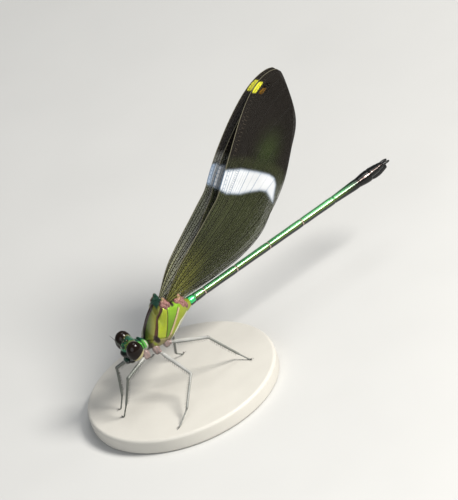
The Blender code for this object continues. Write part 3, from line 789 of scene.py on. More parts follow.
def thorax_tint(rings):
    """Plates told apart by the signed distance from each seam in the side view."""
    left, back, up = np.moveaxis(rings, -1, 0)
    shoulder, shoulder_share = seam_distance(back, up, SHOULDER_SEAM)
    middle, middle_share = seam_distance(back, up, MIDDLE_SEAM)
    rear, rear_share = seam_distance(back, up, REAR_SEAM)
    lower, lower_share = seam_distance(back, up, LOWER_EDGE)
    foot = seam_distance(back, up, FOOT_EDGE)[0]
    black = colours("plate_stripe") * 0.2
    # Painted highlight: the bright plate is painted lighter towards the top and darker towards the bottom
    high = step(-0.5, 2.5, up)[..., None]
    plates = coats(
        filled("plate_front", rings.shape) * 0.8,
        ("plate_rim", step(-0.95, -0.35, shoulder) * 0.7),
        ("plate_side", step(0.0, 0.1, shoulder)),
        (colours("plate_bright") * (0.75 + 0.6 * high), step(-0.05, 0.05, middle)),
        (colours("plate_side") * 0.9, step(0.1, 0.3, rear)),
    )
    reach = step(-0.1, 0.0, rear_share)
    width = 0.12 + 0.09 * step(0.4, 1.0, shoulder_share) + 0.05 * (1 - step(0.0, 0.25, shoulder_share))
    seams = coats(
        plates,
        ("plate_stripe", line_mask(middle, 0.06, 0.05) * step(-0.05, 0.05, middle_share)),
        ("plate_stripe", line_mask(rear + 0.16, 0.09, 0.06) * reach),
        ("suture", line_mask(rear - 0.04, 0.14, 0.05) * reach),
        ("plate_stripe", 1 - step(width - 0.07, width + 0.07, np.abs(shoulder))),
        (colours("suture") * (0.36, 0.38, 0.34), step(-0.05, 0.1, -foot) * (shoulder > -0.2) * 0.8),
    )
    spot_back, spot_up = back - FOOT_SPOT[0], up - FOOT_SPOT[1]
    spot = np.hypot((0.97 * spot_back + 0.25 * spot_up) / 0.44, (0.25 * spot_back - 0.97 * spot_up) / 0.85)
    bar_back, bar_up = back - FOOT_BAR[0], up - FOOT_BAR[1]
    bar = np.hypot((bar_back + 0.35 * bar_up) / 0.28, bar_up / 0.75)
    pale = line_mask(lower + 0.08, 0.17, 0.05) * step(-0.02, 0.05, lower_share)
    shelf = step(-5.75, -5.45, back + 0.15 * np.abs(left)) * (up > 2.0) * (1 - step(0.9, 1.25, np.abs(left)))
    # Painted shade: a black band across the top in the gap between the fore and hind wing roots
    between = np.exp(-(((back + 3.30) / 0.30) ** 2)) * step(1.9, 2.2, up)
    return coats(
        seams,
        (black, 1 - step(0.6, 1.1, spot)),
        (black, (1 - step(-8.9, -8.55, back)) * (up < -0.9) * 0.9),
        (colours("plate_side") * 0.8, (1 - step(0.3, 1.0, bar)) * 0.9),
        (black, line_mask(left, 0.36, 0.06) * step(-1.4, -0.8, up) * (1 - step(-5.6, -5.0, back))),
        ("pale_edge", np.maximum(pale, step(0.05, 0.3, lower) * (back > -5.2) * 0.6)),
        (colours("head_green") * 0.3, shelf),
        (black, np.clip(between * 1.3, 0, 1)),
    )


class DAMSELFLY_OT_thorax(bpy.types.Operator):
    """Builds the winged segments' skin with its keel, seams and coloured plates"""

    bl_idname = "damselfly.thorax"
    bl_label = "Thorax"

    def execute(self, context):
        rings = hull(THORAX, *GRIDS["thorax"], THORAX_SQUARENESS, thorax_roof)
        tint = thorax_tint(rings)
        rings = raised(rings, thorax_relief(rings) - INSET)
        skin("thorax_skin", rings, tint, "thorax", "thorax_skin", "thorax")
        return {"FINISHED"}


class DAMSELFLY_OT_collar(bpy.types.Operator):
    """Builds the small first segment with its lobes and the neck"""

    bl_idname = "damselfly.collar"
    bl_label = "First segment and neck"

    def execute(self, context):
        rings = hull(NECK, *GRIDS["collar"], NECK_SQUARENESS)
        left, back, up = np.moveaxis(rings, -1, 0)
        side = np.abs(left)
        tint = coats(
            filled("collar", rings.shape),
            (colours("head_green") * 0.8, 1 - step(0.45, 0.85, side - 0.3 * (up + 0.4))),
            ("face", line_mask(back + 10.02, 0.10, 0.07) * 0.8),
            ("pale_edge", line_mask(back + 9.35, 0.14, 0.08) * step(0.6, 0.9, side) * 0.9),
            ("leg_pale", step(1.35, 1.8, -up) * 0.8),
            ("face", 1 - step(-11.2, -10.8, back)),
        )
        lobes = 0.07 * np.sin((back + 10.6) * 4.4) * step(-10.9, -10.6, back)
        rings = raised(rings, lobes - 2 * INSET)
        skin("collar_skin", rings, tint, "collar", "head_skin", "prothorax")
        return {"FINISHED"}


def abdomen_rings(rows, cols):
    """Round rings whose radius runs through each segment's ends, with a groove at every joint."""
    knots, radii, lifts, flats = [], [], [], []
    for start, (size, front, rear, waist, lift, flat) in zip(JOINTS, SEGMENTS):
        low, high = start + JOINT_GAP, start + size - JOINT_GAP
        knots += [low, low + 0.14 * size, start + size / 2, high - 0.14 * size, high]
        radii += [front * 0.96, front, (front + rear) / 2 * waist, rear, rear * 0.97]
        lifts += [lift] * 5
        flats += [flat] * 5
    back = np.linspace(0.0, JOINTS[-1] - 0.15, rows)
    nearest = np.abs(back[:, None] - JOINTS[None, 1:-1]).min(1)
    window = np.hanning(2 * int(0.30 / (back[1] - back[0])) + 1)
    radius = np.interp(back, knots, radii)
    radius = np.convolve(np.pad(radius, len(window) // 2, "edge"), window / window.sum(), "valid")
    groove = 0.055 - 0.03 * step(JOINTS[7] - 0.5, JOINTS[7] - 0.1, back)
    radius = radius - groove * np.exp(-((nearest / 0.09) ** 2)) - INSET
    radius *= 1 - step(JOINTS[-1] - 0.4, JOINTS[-1] + 0.1, back) * 0.5
    angle = 2 * np.pi * np.arange(cols) / cols
    under = 1 - 0.10 * np.exp(-(((angle[None] - 1.5 * np.pi) / 0.35) ** 2))
    across = radius[:, None] * np.cos(angle) * under
    thick = radius[:, None] * np.interp(back, knots, flats)[:, None]
    height = np.interp(back, knots, lifts)[:, None] + thick * np.sin(angle) * under
    return np.stack((across, np.broadcast_to(back[:, None], across.shape), height), -1), angle


class DAMSELFLY_OT_abdomen(bpy.types.Operator):
    """Builds the long abdomen as one skin with joint rings and its club"""

    bl_idname = "damselfly.abdomen"
    bl_label = "Abdomen"

    def execute(self, context):
        rings, angle = abdomen_rings(*GRIDS["abdomen"])
        back = rings[..., 1]
        height = np.sin(angle)[None] + 0 * back
        # Painted highlight: a pale streak in the ring colour along the upper side of the club
        painted_club_highlight = line_mask(height - 0.64, 0.05, 0.05) * step(JOINTS[7] - 0.4, JOINTS[7] + 0.2, back)
        tint = coats(
            filled("abdomen_top", rings.shape),
            ("abdomen_side", 1 - step(0.45, 0.75, height)),
            ("abdomen_under", 1 - step(-0.05, 0.25, height)),
            ("ring", line_mask(height + 0.60, 0.05, 0.04) * 0.6),
            ("first_green", (1 - step(0.85, 1.2, back)) * (height > -0.1)),
            ("club", step(JOINTS[6] - 0.8, JOINTS[7] + 0.4, back)),
            ("ring", painted_club_highlight * 0.35),
        )
        for joint in JOINTS[2:6]:
            tint = coats(
                tint,
                ("ring", line_mask(back - joint, 0.085, 0.03) * step(-0.6, -0.3, height) * 0.9),
                ("club", line_mask(back - joint + 0.22, 0.09, 0.07) * 0.55),
            )
        nodes = [f"abdomen_{n:02d}" for n in range(1, 11)]
        skin("abdomen_skin", rings, tint, "abdomen", "abdomen_skin", *nodes)
        return {"FINISHED"}


class DAMSELFLY_OT_abdomen_end(bpy.types.Operator):
    """Builds the two cerci and the egg-laying blades under the club"""

    bl_idname = "damselfly.abdomen_end"
    bl_label = "Cerci and egg-laying blades"

    def execute(self, context):
        tip, start = JOINTS[-1], JOINTS[8]
        club = colours("club")
        t = np.linspace(0, 1, 24)
        radius = 0.22 * np.sqrt(np.maximum(1 - t**3.0, 0)) * (0.9 + 0.2 * t) + 0.015
        for side, word in SIDES:
            across = side * (0.30 + 0.16 * t - 0.10 * t**2)
            path = np.stack((across, tip - 0.25 + 1.35 * t, 0.36 - 0.06 * t**2), -1)
            shell = tubes(path[None], radius[None], 16, (0, 0, 1))
            piece(f"cercus_{word}_skin", shell, club, "club", "club_skin", f"cercus_{word}")
        stations = [(start + back, *section) for back, *section in BLADES]
        rings = hull(stations, *GRIDS["blades"], 2.0)
        groove = 0.05 * np.exp(-((rings[..., 0] / 0.04) ** 2)) * (rings[..., 2] < -0.8)
        rings = raised(rings, -groove)
        piece("egg_blades_skin", closed(rings), club, "club", "club_skin", "ovipositor")
        return {"FINISHED"}


def head_waves(left, back, up):
    """Crossing sine waves, from about -1 to 1, that wrinkle the top of the head and place its painted glints
    and painted shade.
    """
    bends = np.sin(left * 6.1 + 2.2 * np.sin(back * 5.3))
    bends = bends * np.sin(back * 7.2 + 1.7 * np.sin(left * 4.9) + up * 3.0)
    fine = np.sin(back * 16.0 + up * 9.0 + 3.0 * np.sin(left * 7.0))
    return bends * (0.6 + 0.4 * np.sin(left * 11.0 - back * 9.0)) + 0.25 * fine


def head_tint(local, waves):
    """Turquoise above with painted glints on the waves' crests and painted shade in their troughs, painted
    glints on the brow, near black below, with pale margins along the eyes.
    """
    back, up = local[..., 1], local[..., 2]
    # Painted glints: bright green on the crests of the waves; painted shade: dark in their troughs
    tint = coats(
        filled("head_green", local.shape) * 1.5,
        ("collar", step(0.05, 0.6, waves) * 0.8),
        ("face", step(0.1, 0.7, -waves) * 0.7),
    )
    # Painted glints: pale flecks at the glint places on the brow
    for place in HEAD_GLINTS:
        away = np.linalg.norm(local - place, axis=-1)
        tint = mix(tint, colours("eye_rim"), (1 - step(0.10, 0.26, away)) * 0.8)
    tint = mix(tint, colours("face"), 1 - step(-0.35, 0.15, up))
    for place in OCELLI:
        away = np.linalg.norm(local - place, axis=-1)
        tint = mix(tint, colours("face"), 1 - step(0.2, 0.34, away))
    for side, _ in SIDES:
        near = np.linalg.norm((local - EYE_PLACE * (side, 1, 1)) / (EYE_RADII + 0.02), axis=-1)
        margin = (1 - step(1.28, 1.48, near)) * step(0.1, 0.4, up) * (0.45 + 0.55 * step(-0.3, 0.4, waves))
        rim = (1 - step(1.08, 1.22, near)) * np.maximum(step(-0.4, 0.2, back), 1 - step(-0.7, -0.2, up))
        tint = coats(tint, (colours("plate_side") * 0.8, margin * 0.8), ("eye_rim", rim))
    return tint


class DAMSELFLY_OT_head(bpy.types.Operator):
    """Builds the head capsule: brow, face, cheeks, temples and the three simple eyes"""

    bl_idname = "damselfly.head"
    bl_label = "Head"

    def execute(self, context):
        local = blob(SKULL, SKULL_CENTRE, *GRIDS["head"], 10.0)
        left, back, up = np.moveaxis(local, -1, 0)
        waves = head_waves(left, back, up)
        paints = [with_ends(head_tint(local, waves))]
        relief = 0.03 * waves * step(0.1, 0.5, up)
        for height, width, depth, front in FACE_GROOVES:
            relief = relief - depth * np.exp(-(((up - height) / width) ** 2)) * (back < front)
        shells = [closed(on_head(swollen(local, SKULL_CENTRE, relief)))]
        for place in OCELLI:
            shells.append(egg(on_head(place), OCELLUS_RADII))
            paints.append(filled("eye_rim", shells[-1][0].shape) * 0.35)
        piece("head_skin", join(shells), np.concatenate(paints), "head", "head_skin", "head")
        return {"FINISHED"}


class DAMSELFLY_OT_eyes(bpy.types.Operator):
    """Builds the two large compound eyes"""

    bl_idname = "damselfly.eyes"
    bl_label = "Eyes"

    def execute(self, context):
        for side, word in SIDES:
            centre = EYE_PLACE * (side, 1, 1)
            rings = blob(((centre, EYE_RADII),), centre, *GRIDS["eye"])
            low = step(0.42, 0.54, (rings - centre) / EYE_RADII @ (EYE_RIM_WAY * (side, 1, 1)))
            tint = coats(filled("eye", rings.shape), ("eye_rim", low))
            skin(f"eye_{word}_skin", on_head(rings), tint, "eye", "eye_skin", f"eye_{word}")
        return {"FINISHED"}


class DAMSELFLY_OT_mouth(bpy.types.Operator):
    """Builds the upper lip and the jaws with the lower lip"""

    bl_idname = "damselfly.mouth"
    bl_label = "Lip and jaws"

    def execute(self, context):
        centre = np.array(LIP[0])
        rings = blob((LIP,), centre, *GRIDS["mouth"])
        left, _, up = np.moveaxis(rings - centre, -1, 0)
        notch = 0.10 * np.exp(-((left / 0.16) ** 2)) * step(0.15, 0.4, -up)
        rings = rings + notch[..., None] * (0.0, 0.0, 1.0)
        tint = coats(filled("face", rings.shape), ("head_green", step(0.0, 0.4, up) * 0.4))
        skin("upper_lip_skin", on_head(rings), tint, "mouth", "mouth_skin", "labrum")
        rings = blob(JAWS, np.array(JAWS_CENTRE), *GRIDS["mouth"], 12.0)
        tint = coats(filled("face", rings.shape), ("leg_dark", step(-0.6, 0.1, rings[..., 1]) * 0.7))
        skin("jaws_skin", on_head(rings), tint, "mouth", "mouth_skin", "mouthparts")
        return {"FINISHED"}


class DAMSELFLY_OT_feelers(bpy.types.Operator):
    """Builds the two bristle-like feelers with their two thick first joints"""

    bl_idname = "damselfly.feelers"
    bl_label = "Feelers"

    def execute(self, context):
        t = np.linspace(0, 1, 48)
        radius = np.interp(t, np.linspace(0, 1, len(FEELER)), FEELER_RADII)
        for joint in FEELER_JOINTS:
            radius = radius - 0.02 * np.exp(-(((t - joint) / 0.03) ** 2))
        for side, word in SIDES:
            path = on_head(smooth_rows(np.array(FEELER) * (side, 1, 1), t))
            shell = tubes(path[None], radius[None], 16, (1, 0, 0))
            tint = coats(colours("face"), ("leg_dark", 0.3))
            piece(f"feeler_{word}_skin", shell, tint, "mouth", "leg_skin", f"antenna_{word}")
        return {"FINISHED"}


def leg_line(coxa, knee, ankle, foot):
    """The leg's smoothly bent line: its places, its radii and the share of its length at each."""
    toe = foot + (foot - ankle) * (1, 1, 0) * 0.35
    toe[2] = BASE_TOP + TOE_HEIGHT
    stations = []
    for start, end, rows in ((coxa, knee, THIGH), (knee, ankle, SHIN), (ankle, foot, FOOT)):
        stations += [(start + (end - start) * share, radius) for share, radius in rows]
    stations.append((toe, 0.05))
    knots = np.array([place for place, radius in stations])
    reach = np.concatenate(((0,), np.cumsum(np.linalg.norm(np.diff(knots, axis=0), axis=1))))
    t = np.linspace(0, reach[-1], LEG_STATIONS)
    path = np.stack([np.interp(t, reach, knots[:, n]) for n in range(3)], -1)
    kernel = np.hanning(LEG_BEND) / np.hanning(LEG_BEND).sum()
    ends = LEG_BEND // 2
    padded = np.concatenate((np.repeat(path[:1], ends, 0), path, np.repeat(path[-1:], ends, 0)))
    path = np.stack([np.convolve(padded[:, n], kernel, "valid") for n in range(3)], -1)
    return path, np.interp(t, reach, [radius for place, radius in stations]), t / reach[-1]


def leg_tube(name, coxa, knee, ankle, foot):
    """The leg itself, pale above and darker towards the foot, with painted shade below and on the fore legs,
    and dark joints.
    """
    path, radius, shares = leg_line(coxa, knee, ankle, foot)
    shell = tubes(path[None], radius[None], LEG_SIDES, np.cross(knee - coxa, ankle - knee))
    points = shell[0]
    ring = np.concatenate((np.repeat(np.arange(LEG_STATIONS), LEG_SIDES), (0, LEG_STATIONS - 1)))
    height = (points - path[ring])[:, 2] / np.maximum(radius[ring], 0.05)
    # Painted shade: the fore legs, shaded by the head, are painted darker and dark over more of their length
    fore = 0.3 * ("fore" in name)
    # Painted shade: the underside of every leg is painted dark grey-green
    tint = coats(
        filled("leg_pale", points.shape),
        ("leg_dark", 1 - step(-0.7, 0.2, height)),
        ("leg_dark", (0.55 + fore) * step(0.30, 0.55, shares[ring] + fore)),
    )
    for joint in (knee, ankle):
        away = np.linalg.norm(points - joint, axis=1)
        tint = mix(tint, colours("spine"), (1 - step(0.10, 0.32, away)) * 0.6)
    return shell, tint


def hip_shell(coxa, knee):
    """The hip: two rounded forms and the leg's short second joint, melted and faintly ridged."""
    outer = coxa + (knee - coxa) * 0.09
    forms = (
        (coxa, COXA_RADII * 0.96),
        (coxa + (0, -0.12, 0.35), COXA_RADII * (0.9, 0.8, 0.6)),
        (outer, (0.34, 0.34, 0.34)),
    )
    rings = blob(forms, coxa, *GRIDS["hip"], 12.0)
    ridge = 0.03 * np.sin((rings[..., 1] - coxa[1]) * 9.0 + (rings[..., 2] - coxa[2]) * 2.0)
    shell = closed(swollen(rings, coxa, ridge))
    way = (shell[0] - coxa) / COXA_RADII
    bend = 1.2 * np.sin(way @ np.array((4.0, -2.0, 3.0)))
    patch = 0.5 + 0.5 * np.sin(way @ np.array((1.0, 9.0, 2.0)) + bend)
    tint = coats(
        filled("leg_pale", shell[0].shape) * 0.55,
        ("pink", 0.30 + patch * 0.25),
        (colours("leg_dark") * 0.6, 1 - step(-0.9, -0.3, way[:, 2])),
    )
    return shell, tint


def claw_shells(ankle, foot):
    """The foot's two claws, which spread, rise and hook down again."""
    toe_way = unit((foot - ankle) * (1, 1, 0))
    across = np.cross(toe_way, (0, 0, 1))
    u = np.linspace(0, 1, 10)[:, None]
    arch = np.array((0, 0, 1)) * (0.03 + 0.12 * np.sin(np.pi * u * 0.9) - 0.10 * u)
    for side, _ in SIDES:
        claw = foot + toe_way * (0.25 + 0.45 * u) + across * side * (0.04 + 0.22 * u) + arch
        shell = tubes(claw[None], (0.045 * (1 - u[:, 0]) + 0.006)[None], 8, (0, 0, 1))
        yield shell, filled("spine", shell[0].shape)


def spine_rows(start, end, facing, count, longest, wide, seed):
    """Two rows of bristles along a stretch of leg; each is a quarter-bent tapered tube."""
    draw = np.random.default_rng(seed)
    run = unit(end - start)
    down = unit(facing - run * (facing @ run))
    across = np.cross(run, down)
    share = np.linspace(*BRISTLE_SPAN, count) + draw.uniform(-0.01, 0.01, count)
    lean = np.where(np.arange(count) % 2, BRISTLE_LEAN, -BRISTLE_LEAN) + draw.uniform(-0.08, 0.08, count)
    size = longest * (0.72 + 0.28 * np.sin(np.pi * share)) * draw.uniform(0.9, 1.05, count)
    along = unit(down + across * lean[:, None] + run * BRISTLE_RAKE)
    t = np.linspace(0, 1, len(BRISTLE_RADII))[None, :, None]
    root = start + (end - start) * share[:, None] + along * wide * 0.6
    size = size[:, None, None]
    paths = root[:, None] + along[:, None] * size * t + run * size * 0.12 * t**2
    return tubes(paths, np.array(BRISTLE_RADII)[None], 5, across)


class DAMSELFLY_OT_legs(bpy.types.Operator):
    """Builds the six legs with hips, joints, claws and rows of bristles"""

    bl_idname = "damselfly.legs"
    bl_label = "Legs"

    def execute(self, context):
        longest = sizes().spine / MM
        ground = np.array((0.0, 0.0, -1.0))
        for seed, (name, joints) in enumerate(LEGS.items()):
            *upper, foot = joints
            coxa, knee, ankle, foot = map(np.array, (*upper, (*foot, BASE_TOP + FOOT_HEIGHT)))
            limb = leg_tube(name, coxa, knee, ankle, foot)
            shells, paints = zip(limb, hip_shell(coxa, knee), *claw_shells(ankle, foot))
            piece(f"{name}_skin", join(shells), np.concatenate(paints), "leg", "leg_skin", name)
            shin_facing = ground * 0.4 - unit(ankle - coxa)
            rows = (
                spine_rows(coxa + (knee - coxa) * 0.14, knee, ground, THIGH_BRISTLES, longest, 0.26, seed),
                spine_rows(knee, ankle, shin_facing, SHIN_BRISTLES, longest * 0.85, 0.16, seed + 10),
            )
            piece(f"{name}_bristles", join(rows), colours("spine"), "spine", "leg_skin")
        return {"FINISHED"}


def each_wing():
    """Name, plan and side of the four wings."""
    for name, spec in WINGS.items():
        for side, word in SIDES:
            yield f"{name}_{word}", spec, side


def edge_height(heights, s):
    """Distance of a wing edge from the wing's axis: the smooth cubic x (1 - s^tip)^round."""
    s = np.asarray(s, float)
    table = np.array(heights, float)[:, None]
    return smooth_rows(table, s.ravel())[:, 0].reshape(s.shape) * (1 - s**TIP_POWER) ** TIP_ROUND


def wing_edges(spec, s):
    centre, width, depth = spec["nodus"]
    lead = edge_height(spec["lead"], s) - depth * np.exp(-(((s - centre) / width) ** 2))
    return lead, -edge_height(spec["trail"], s)


def wing_upright(spec, s, w):
    """The place (back, up) on the body of wing share s along and w across."""
    lead, trail = wing_edges(spec, s)
    u, v = s * spec["length"], lead + (trail - lead) * w
    run, rise = math.cos(spec["rise"]), math.sin(spec["rise"])
    return spec["root"][0] + u * run - v * rise, spec["root"][1] + u * rise + v * run


def fore_plane(back, up):
    """A place (back, up) as (along, high) in the fore wing's plane, where the band is drawn."""
    run, rise = math.cos(FORE_WING["rise"]), math.sin(FORE_WING["rise"])
    back, up = back - FORE_WING["root"][0], up - FORE_WING["root"][1]
    return back * run + up * rise, up * run - back * rise


def wing_place(spec, side, s, w, lift=0.0):
    """Place on the body of wing share s along and w across, folded in pleats between the veins.

    The pleat is height x cos(pi x vein number), which alternates from each main vein to the next.
    """
    back, up = wing_upright(spec, s, w)
    phase = w * np.maximum(1 - s, 1e-6) ** FLOW
    number = np.interp(phase, (0.0, *MAIN_VEINS, 1.0), np.arange(len(MAIN_VEINS) + 2))
    fade = (1 - step(0.5, 1.0, s) * 0.6) * step(0.0, 0.06, w * (1 - w))
    fold = sizes().pleat / MM * np.cos(np.pi * number) * fade
    tip_lay, lay, root_lay = spec["lay"]
    across = lay + (tip_lay - lay) * step(*BOW_FADES, s) + (root_lay - lay) * (1 - s) ** 5 + fold + lift
    return np.stack((side * across, back, up), -1)


def outline_distance(u, v, outline):
    """Signed distance from a closed outline, negative inside."""
    corners = np.array(outline, float)
    following = np.roll(corners, -1, 0)
    nearest = np.full(u.shape, 1e9)
    inside = np.zeros(u.shape, bool)
    for (u0, v0), (u1, v1) in zip(corners, following):
        run = np.array((u1 - u0, v1 - v0))
        share = np.clip(((u - u0) * run[0] + (v - v0) * run[1]) / (run @ run), 0, 1)
        nearest = np.minimum(nearest, np.hypot(u - u0 - share * run[0], v - v0 - share * run[1]))
        crosses = (v0 > v) != (v1 > v)
        inside ^= crosses & (u < u0 + (v - v0) * (u1 - u0) / (v1 - v0 + 1e-12))
    return np.where(inside, -nearest, nearest)


def wing_paint(spec, side, s, w):
    """Colour and cover of the membrane: smoky inner half, dark outer half, white band, pale spot."""
    along, high = fore_plane(*wing_upright(spec, s, w))
    lead, trail = wing_edges(spec, s)
    inward = w * (lead - trail)
    fore = spec is FORE_WING
    away = outline_distance(along, high, BAND)
    dark = step(-0.6, 1.4, along - 21.2 + 0.32 * (high + 4.0))
    haze = line_mask(away - 0.9, 0.8, 0.8) * dark
    front = 1 - step(2.0, 5.0, inward)
    clear = np.exp(-(((along - 27.0) / 2.6) ** 2) - (((high + 4.6) / 1.7) ** 2))
    cover = 0.76 + (0.20 + 0.022 * (1 - step(1.2, 3.0, inward))) * dark - 0.16 * haze
    cover += (1 - dark) * (0.14 * front * step(0.08, 0.35, s) - 0.16 * step(0.55, 1.0, w))
    cover -= 0.25 * clear
    band = 1 - step(-0.22, 0.30, away)
    # Painted shade: a bluish strip along the leading edge of the right fore wing's white band
    strip = (1 - step(0.55, 0.95, inward)) * (fore and side < 0)
    edge = step(-0.45, 0.15, away)
    white = coats(filled("band", (*s.shape, 3)), ("band_edge", edge * 0.6), ("band_edge", strip * 0.8))
    cover = cover + (0.90 - cover) * band
    slant = (s - SPOT_SHARE - 0.008 * (inward - SPOT_INWARD)) / SPOT_HALF
    window = np.hypot(slant * 0.9, (inward - 1.75) / 0.75)
    cover = cover - 0.60 * fore * (1 - step(0.7, 1.1, window))
    spot_away = (slant**4 + ((inward - SPOT_INWARD) / 0.40) ** 4) ** 0.25
    spot = (1 - step(0.92, 1.08, spot_away)) * (1 - 0.6 * line_mask(inward - SPOT_INWARD, 0.03, 0.03))
    tint = coats(
        filled("smoke", (*s.shape, 3)),
        ("dark", dark),
        ("smoke", haze * 0.7),
        ("root_stain", (1 - step(0.04, 0.30, s)) * front * 0.8),
        (colours("smoke") * (0.9, 1.15, 0.8), clear * 0.8),
        (white, band),
        ("spot" if fore else "rear_spot", spot),
    )
    return tint, cover + (0.96 - cover) * spot


def vein_family(spec):
    """Long veins as (phase, share along where it starts, level): the main ones, then finer ones
    that start where their neighbours have drawn apart."""
    edges = [0.0, *MAIN_VEINS, 1.0]
    s = np.linspace(0.02, 0.97, 400)
    lead, trail = wing_edges(spec, s)
    spread = (lead - trail) / np.maximum(1 - s, 1e-6) ** FLOW
    found = [(p, 0.0, 0) for p in MAIN_VEINS]
    gaps = list(zip(edges[:-1], edges[1:]))
    for level in range(1, len(LEVEL_SHARES)):
        halves = []
        for low, high in gaps:
            middle = (low + high) / 2
            wide = (high - low) * spread > WIDEST_GAP
            end = 1 - middle ** (1 / FLOW)
            if wide.any() and s[wide.argmax()] < end - 0.03:
                found.append((middle, float(s[wide.argmax()]), level))
                halves += [(low, middle), (middle, high)]
        gaps = halves
    return sorted(found)


def span_shares(t):
    """Shares along the wing, closer together at both ends."""
    return TIP_SHARE * (1 - np.cos(np.pi * t)) / 2


def long_veins(spec, side, family, guide):
    """Tubes that thin towards the tip, each on one line where w x (1 - s)^flow is the same."""
    radius = sizes().vein / MM
    t = np.linspace(0, 1, 90)
    paths, radii = [], []
    for phase, start, level in family:
        end = min(VEIN_END, 1 - phase ** (1 / FLOW))
        s = start + (end - start) * (1 - (1 - t) ** 1.6)
        w = np.clip(phase / np.maximum(1 - s, 1e-6) ** FLOW, 0, 1)
        paths.append(wing_place(spec, side, s, w))
        radii.append(radius * LEVEL_SHARES[level] * (1 - 0.6 * t) * (0.45 + 0.55 * step(0.0, 0.14, s)))
    return tubes(np.array(paths), np.array(radii), 5, guide)


def rim_veins(spec, side, guide):
    """The stout vein of the leading edge and the thinner one of the trailing edge."""
    t = np.linspace(0, 1, 240)
    s = span_shares(t)
    radius = sizes().vein / MM * (0.6 + 0.4 * step(0.0, 0.14, s))
    rim = [wing_place(spec, side, s, 0 * s + w) for w in (0, 1)]
    return tubes(np.array(rim), np.array((radius * (1.25 - 0.75 * t), radius * (0.70 - 0.40 * t))), 6, guide)


def cross_ends(spec, family):
    """Rows (s, w of both ends, millimetres from the leading edge) of the cross veins, staggered
    from cell to cell."""
    draw = np.random.default_rng(7)
    ends = []
    cell = sizes().cell / MM / spec["length"]
    for number, at in enumerate(np.arange(*CROSS_SPAN, cell)):
        crossed = [phase / (1 - at) ** FLOW for phase, start, _ in family if start < at]
        here = [0.0, *(w for w in crossed if w < 1), 1.0]
        lead, trail = wing_edges(spec, np.array(at))
        for k, (low, high) in enumerate(zip(here[:-1], here[1:])):
            inward = low * (lead - trail)
            front = inward < LADDER_WIDTH
            if (high - low) * (lead - trail) < NARROWEST_GAP or (front and number % 2):
                continue
            shift = (0.5 if k % 2 else 0.0) * cell * (2 if front else 1) + draw.uniform(-0.12, 0.12) * cell
            ends.append((at + shift, low, high, inward))
    return np.array(ends)


def vein_shells(spec, side):
    """All veins of one wing: long veins, rims and the cross veins that close the cells."""
    run, rise = math.cos(spec["rise"]), math.sin(spec["rise"])
    family = vein_family(spec)
    ends = cross_ends(spec, family)
    paths = wing_place(spec, side, np.minimum(ends[:, :1], 0.99) + np.zeros((1, 2)), ends[:, 1:3])
    thin = step(1.0, 4.0, ends[:, 3]) + step(0.25, 0.8, ends[:, 0]) * 0.3
    radii = sizes().cross_vein / MM * (1 - 0.5 * np.minimum(thin, 1.0))[:, None] + np.zeros((1, 2))
    shells = (
        long_veins(spec, side, family, (0.0, -rise, run)),
        rim_veins(spec, side, (0.0, -rise, run)),
        tubes(paths, radii, 3, (0.0, run, rise)),
    )
    paints = [filled("vein", shell[0].shape) for shell in shells]
    paints[1][: len(paints[1]) // 2] = colours("costa")
    outer = np.repeat(step(0.58, 0.64, ends[:, 0]), len(shells[2][0]) // len(ends))
    paints[2] = mix(paints[2], colours("vein_end"), outer)
    shell = join(shells)
    away = outline_distance(*fore_plane(shell[0][:, 1], shell[0][:, 2]), BAND)
    inside = 1 - step(-0.3, 0.3, away)
    return shell, mix(np.concatenate(paints), colours("band_edge") * 0.8, inside * 0.65)


def membrane_shell(spec, side):
    """A thin closed sheet: the pleated surface, twice, and a rim between."""
    rows, cols = GRIDS["membrane"]
    s = span_shares(np.linspace(0, 1, rows))[:, None] + np.zeros((1, cols))
    w = np.zeros((rows, 1)) + (np.linspace(0, 1, cols) ** 1.4)[None]
    half = sizes().membrane / MM / 2
    points = np.concatenate([wing_place(spec, side, s, w, lift).reshape(-1, 3) for lift in (-half, half)])
    tint, cover = wing_paint(spec, side, s, w)
    grid = lattice(rows, cols, False)
    size = rows * cols
    index = np.arange(size).reshape(rows, cols)
    rim = np.concatenate((index[0], index[1:, -1], index[-1, -2::-1], index[-2:0:-1, 0]))
    after = np.roll(rim, -1)
    band = np.stack((rim, rim + size, after + size, after), -1)
    quads = np.concatenate((grid[:, ::-1], grid + size, band))
    quads, tris = outward(points, quads, np.zeros((0, 3), int))
    tint = np.tile(tint.reshape(-1, 3), (2, 1))
    cover = 1 - np.sqrt(1 - np.tile(cover.reshape(-1), 2))
    return (points, quads, tris), tint, cover


class DAMSELFLY_OT_membranes(bpy.types.Operator):
    """Builds the four thin wing membranes with their bands and spots"""

    bl_idname = "damselfly.membranes"
    bl_label = "Wing membranes"

    def execute(self, context):
        for name, spec, side in each_wing():
            shell, tint, cover = membrane_shell(spec, side)
            piece(f"{name}_membrane", shell, tint, "membrane", "wing_skin", name, cover=cover)
        return {"FINISHED"}


class DAMSELFLY_OT_veins(bpy.types.Operator):
    """Builds the net of veins of the four wings"""

    bl_idname = "damselfly.veins"
    bl_label = "Wing veins"

    def execute(self, context):
        for name, spec, side in each_wing():
            piece(f"{name}_veins", *vein_shells(spec, side), "vein", "wing_skin")
        return {"FINISHED"}


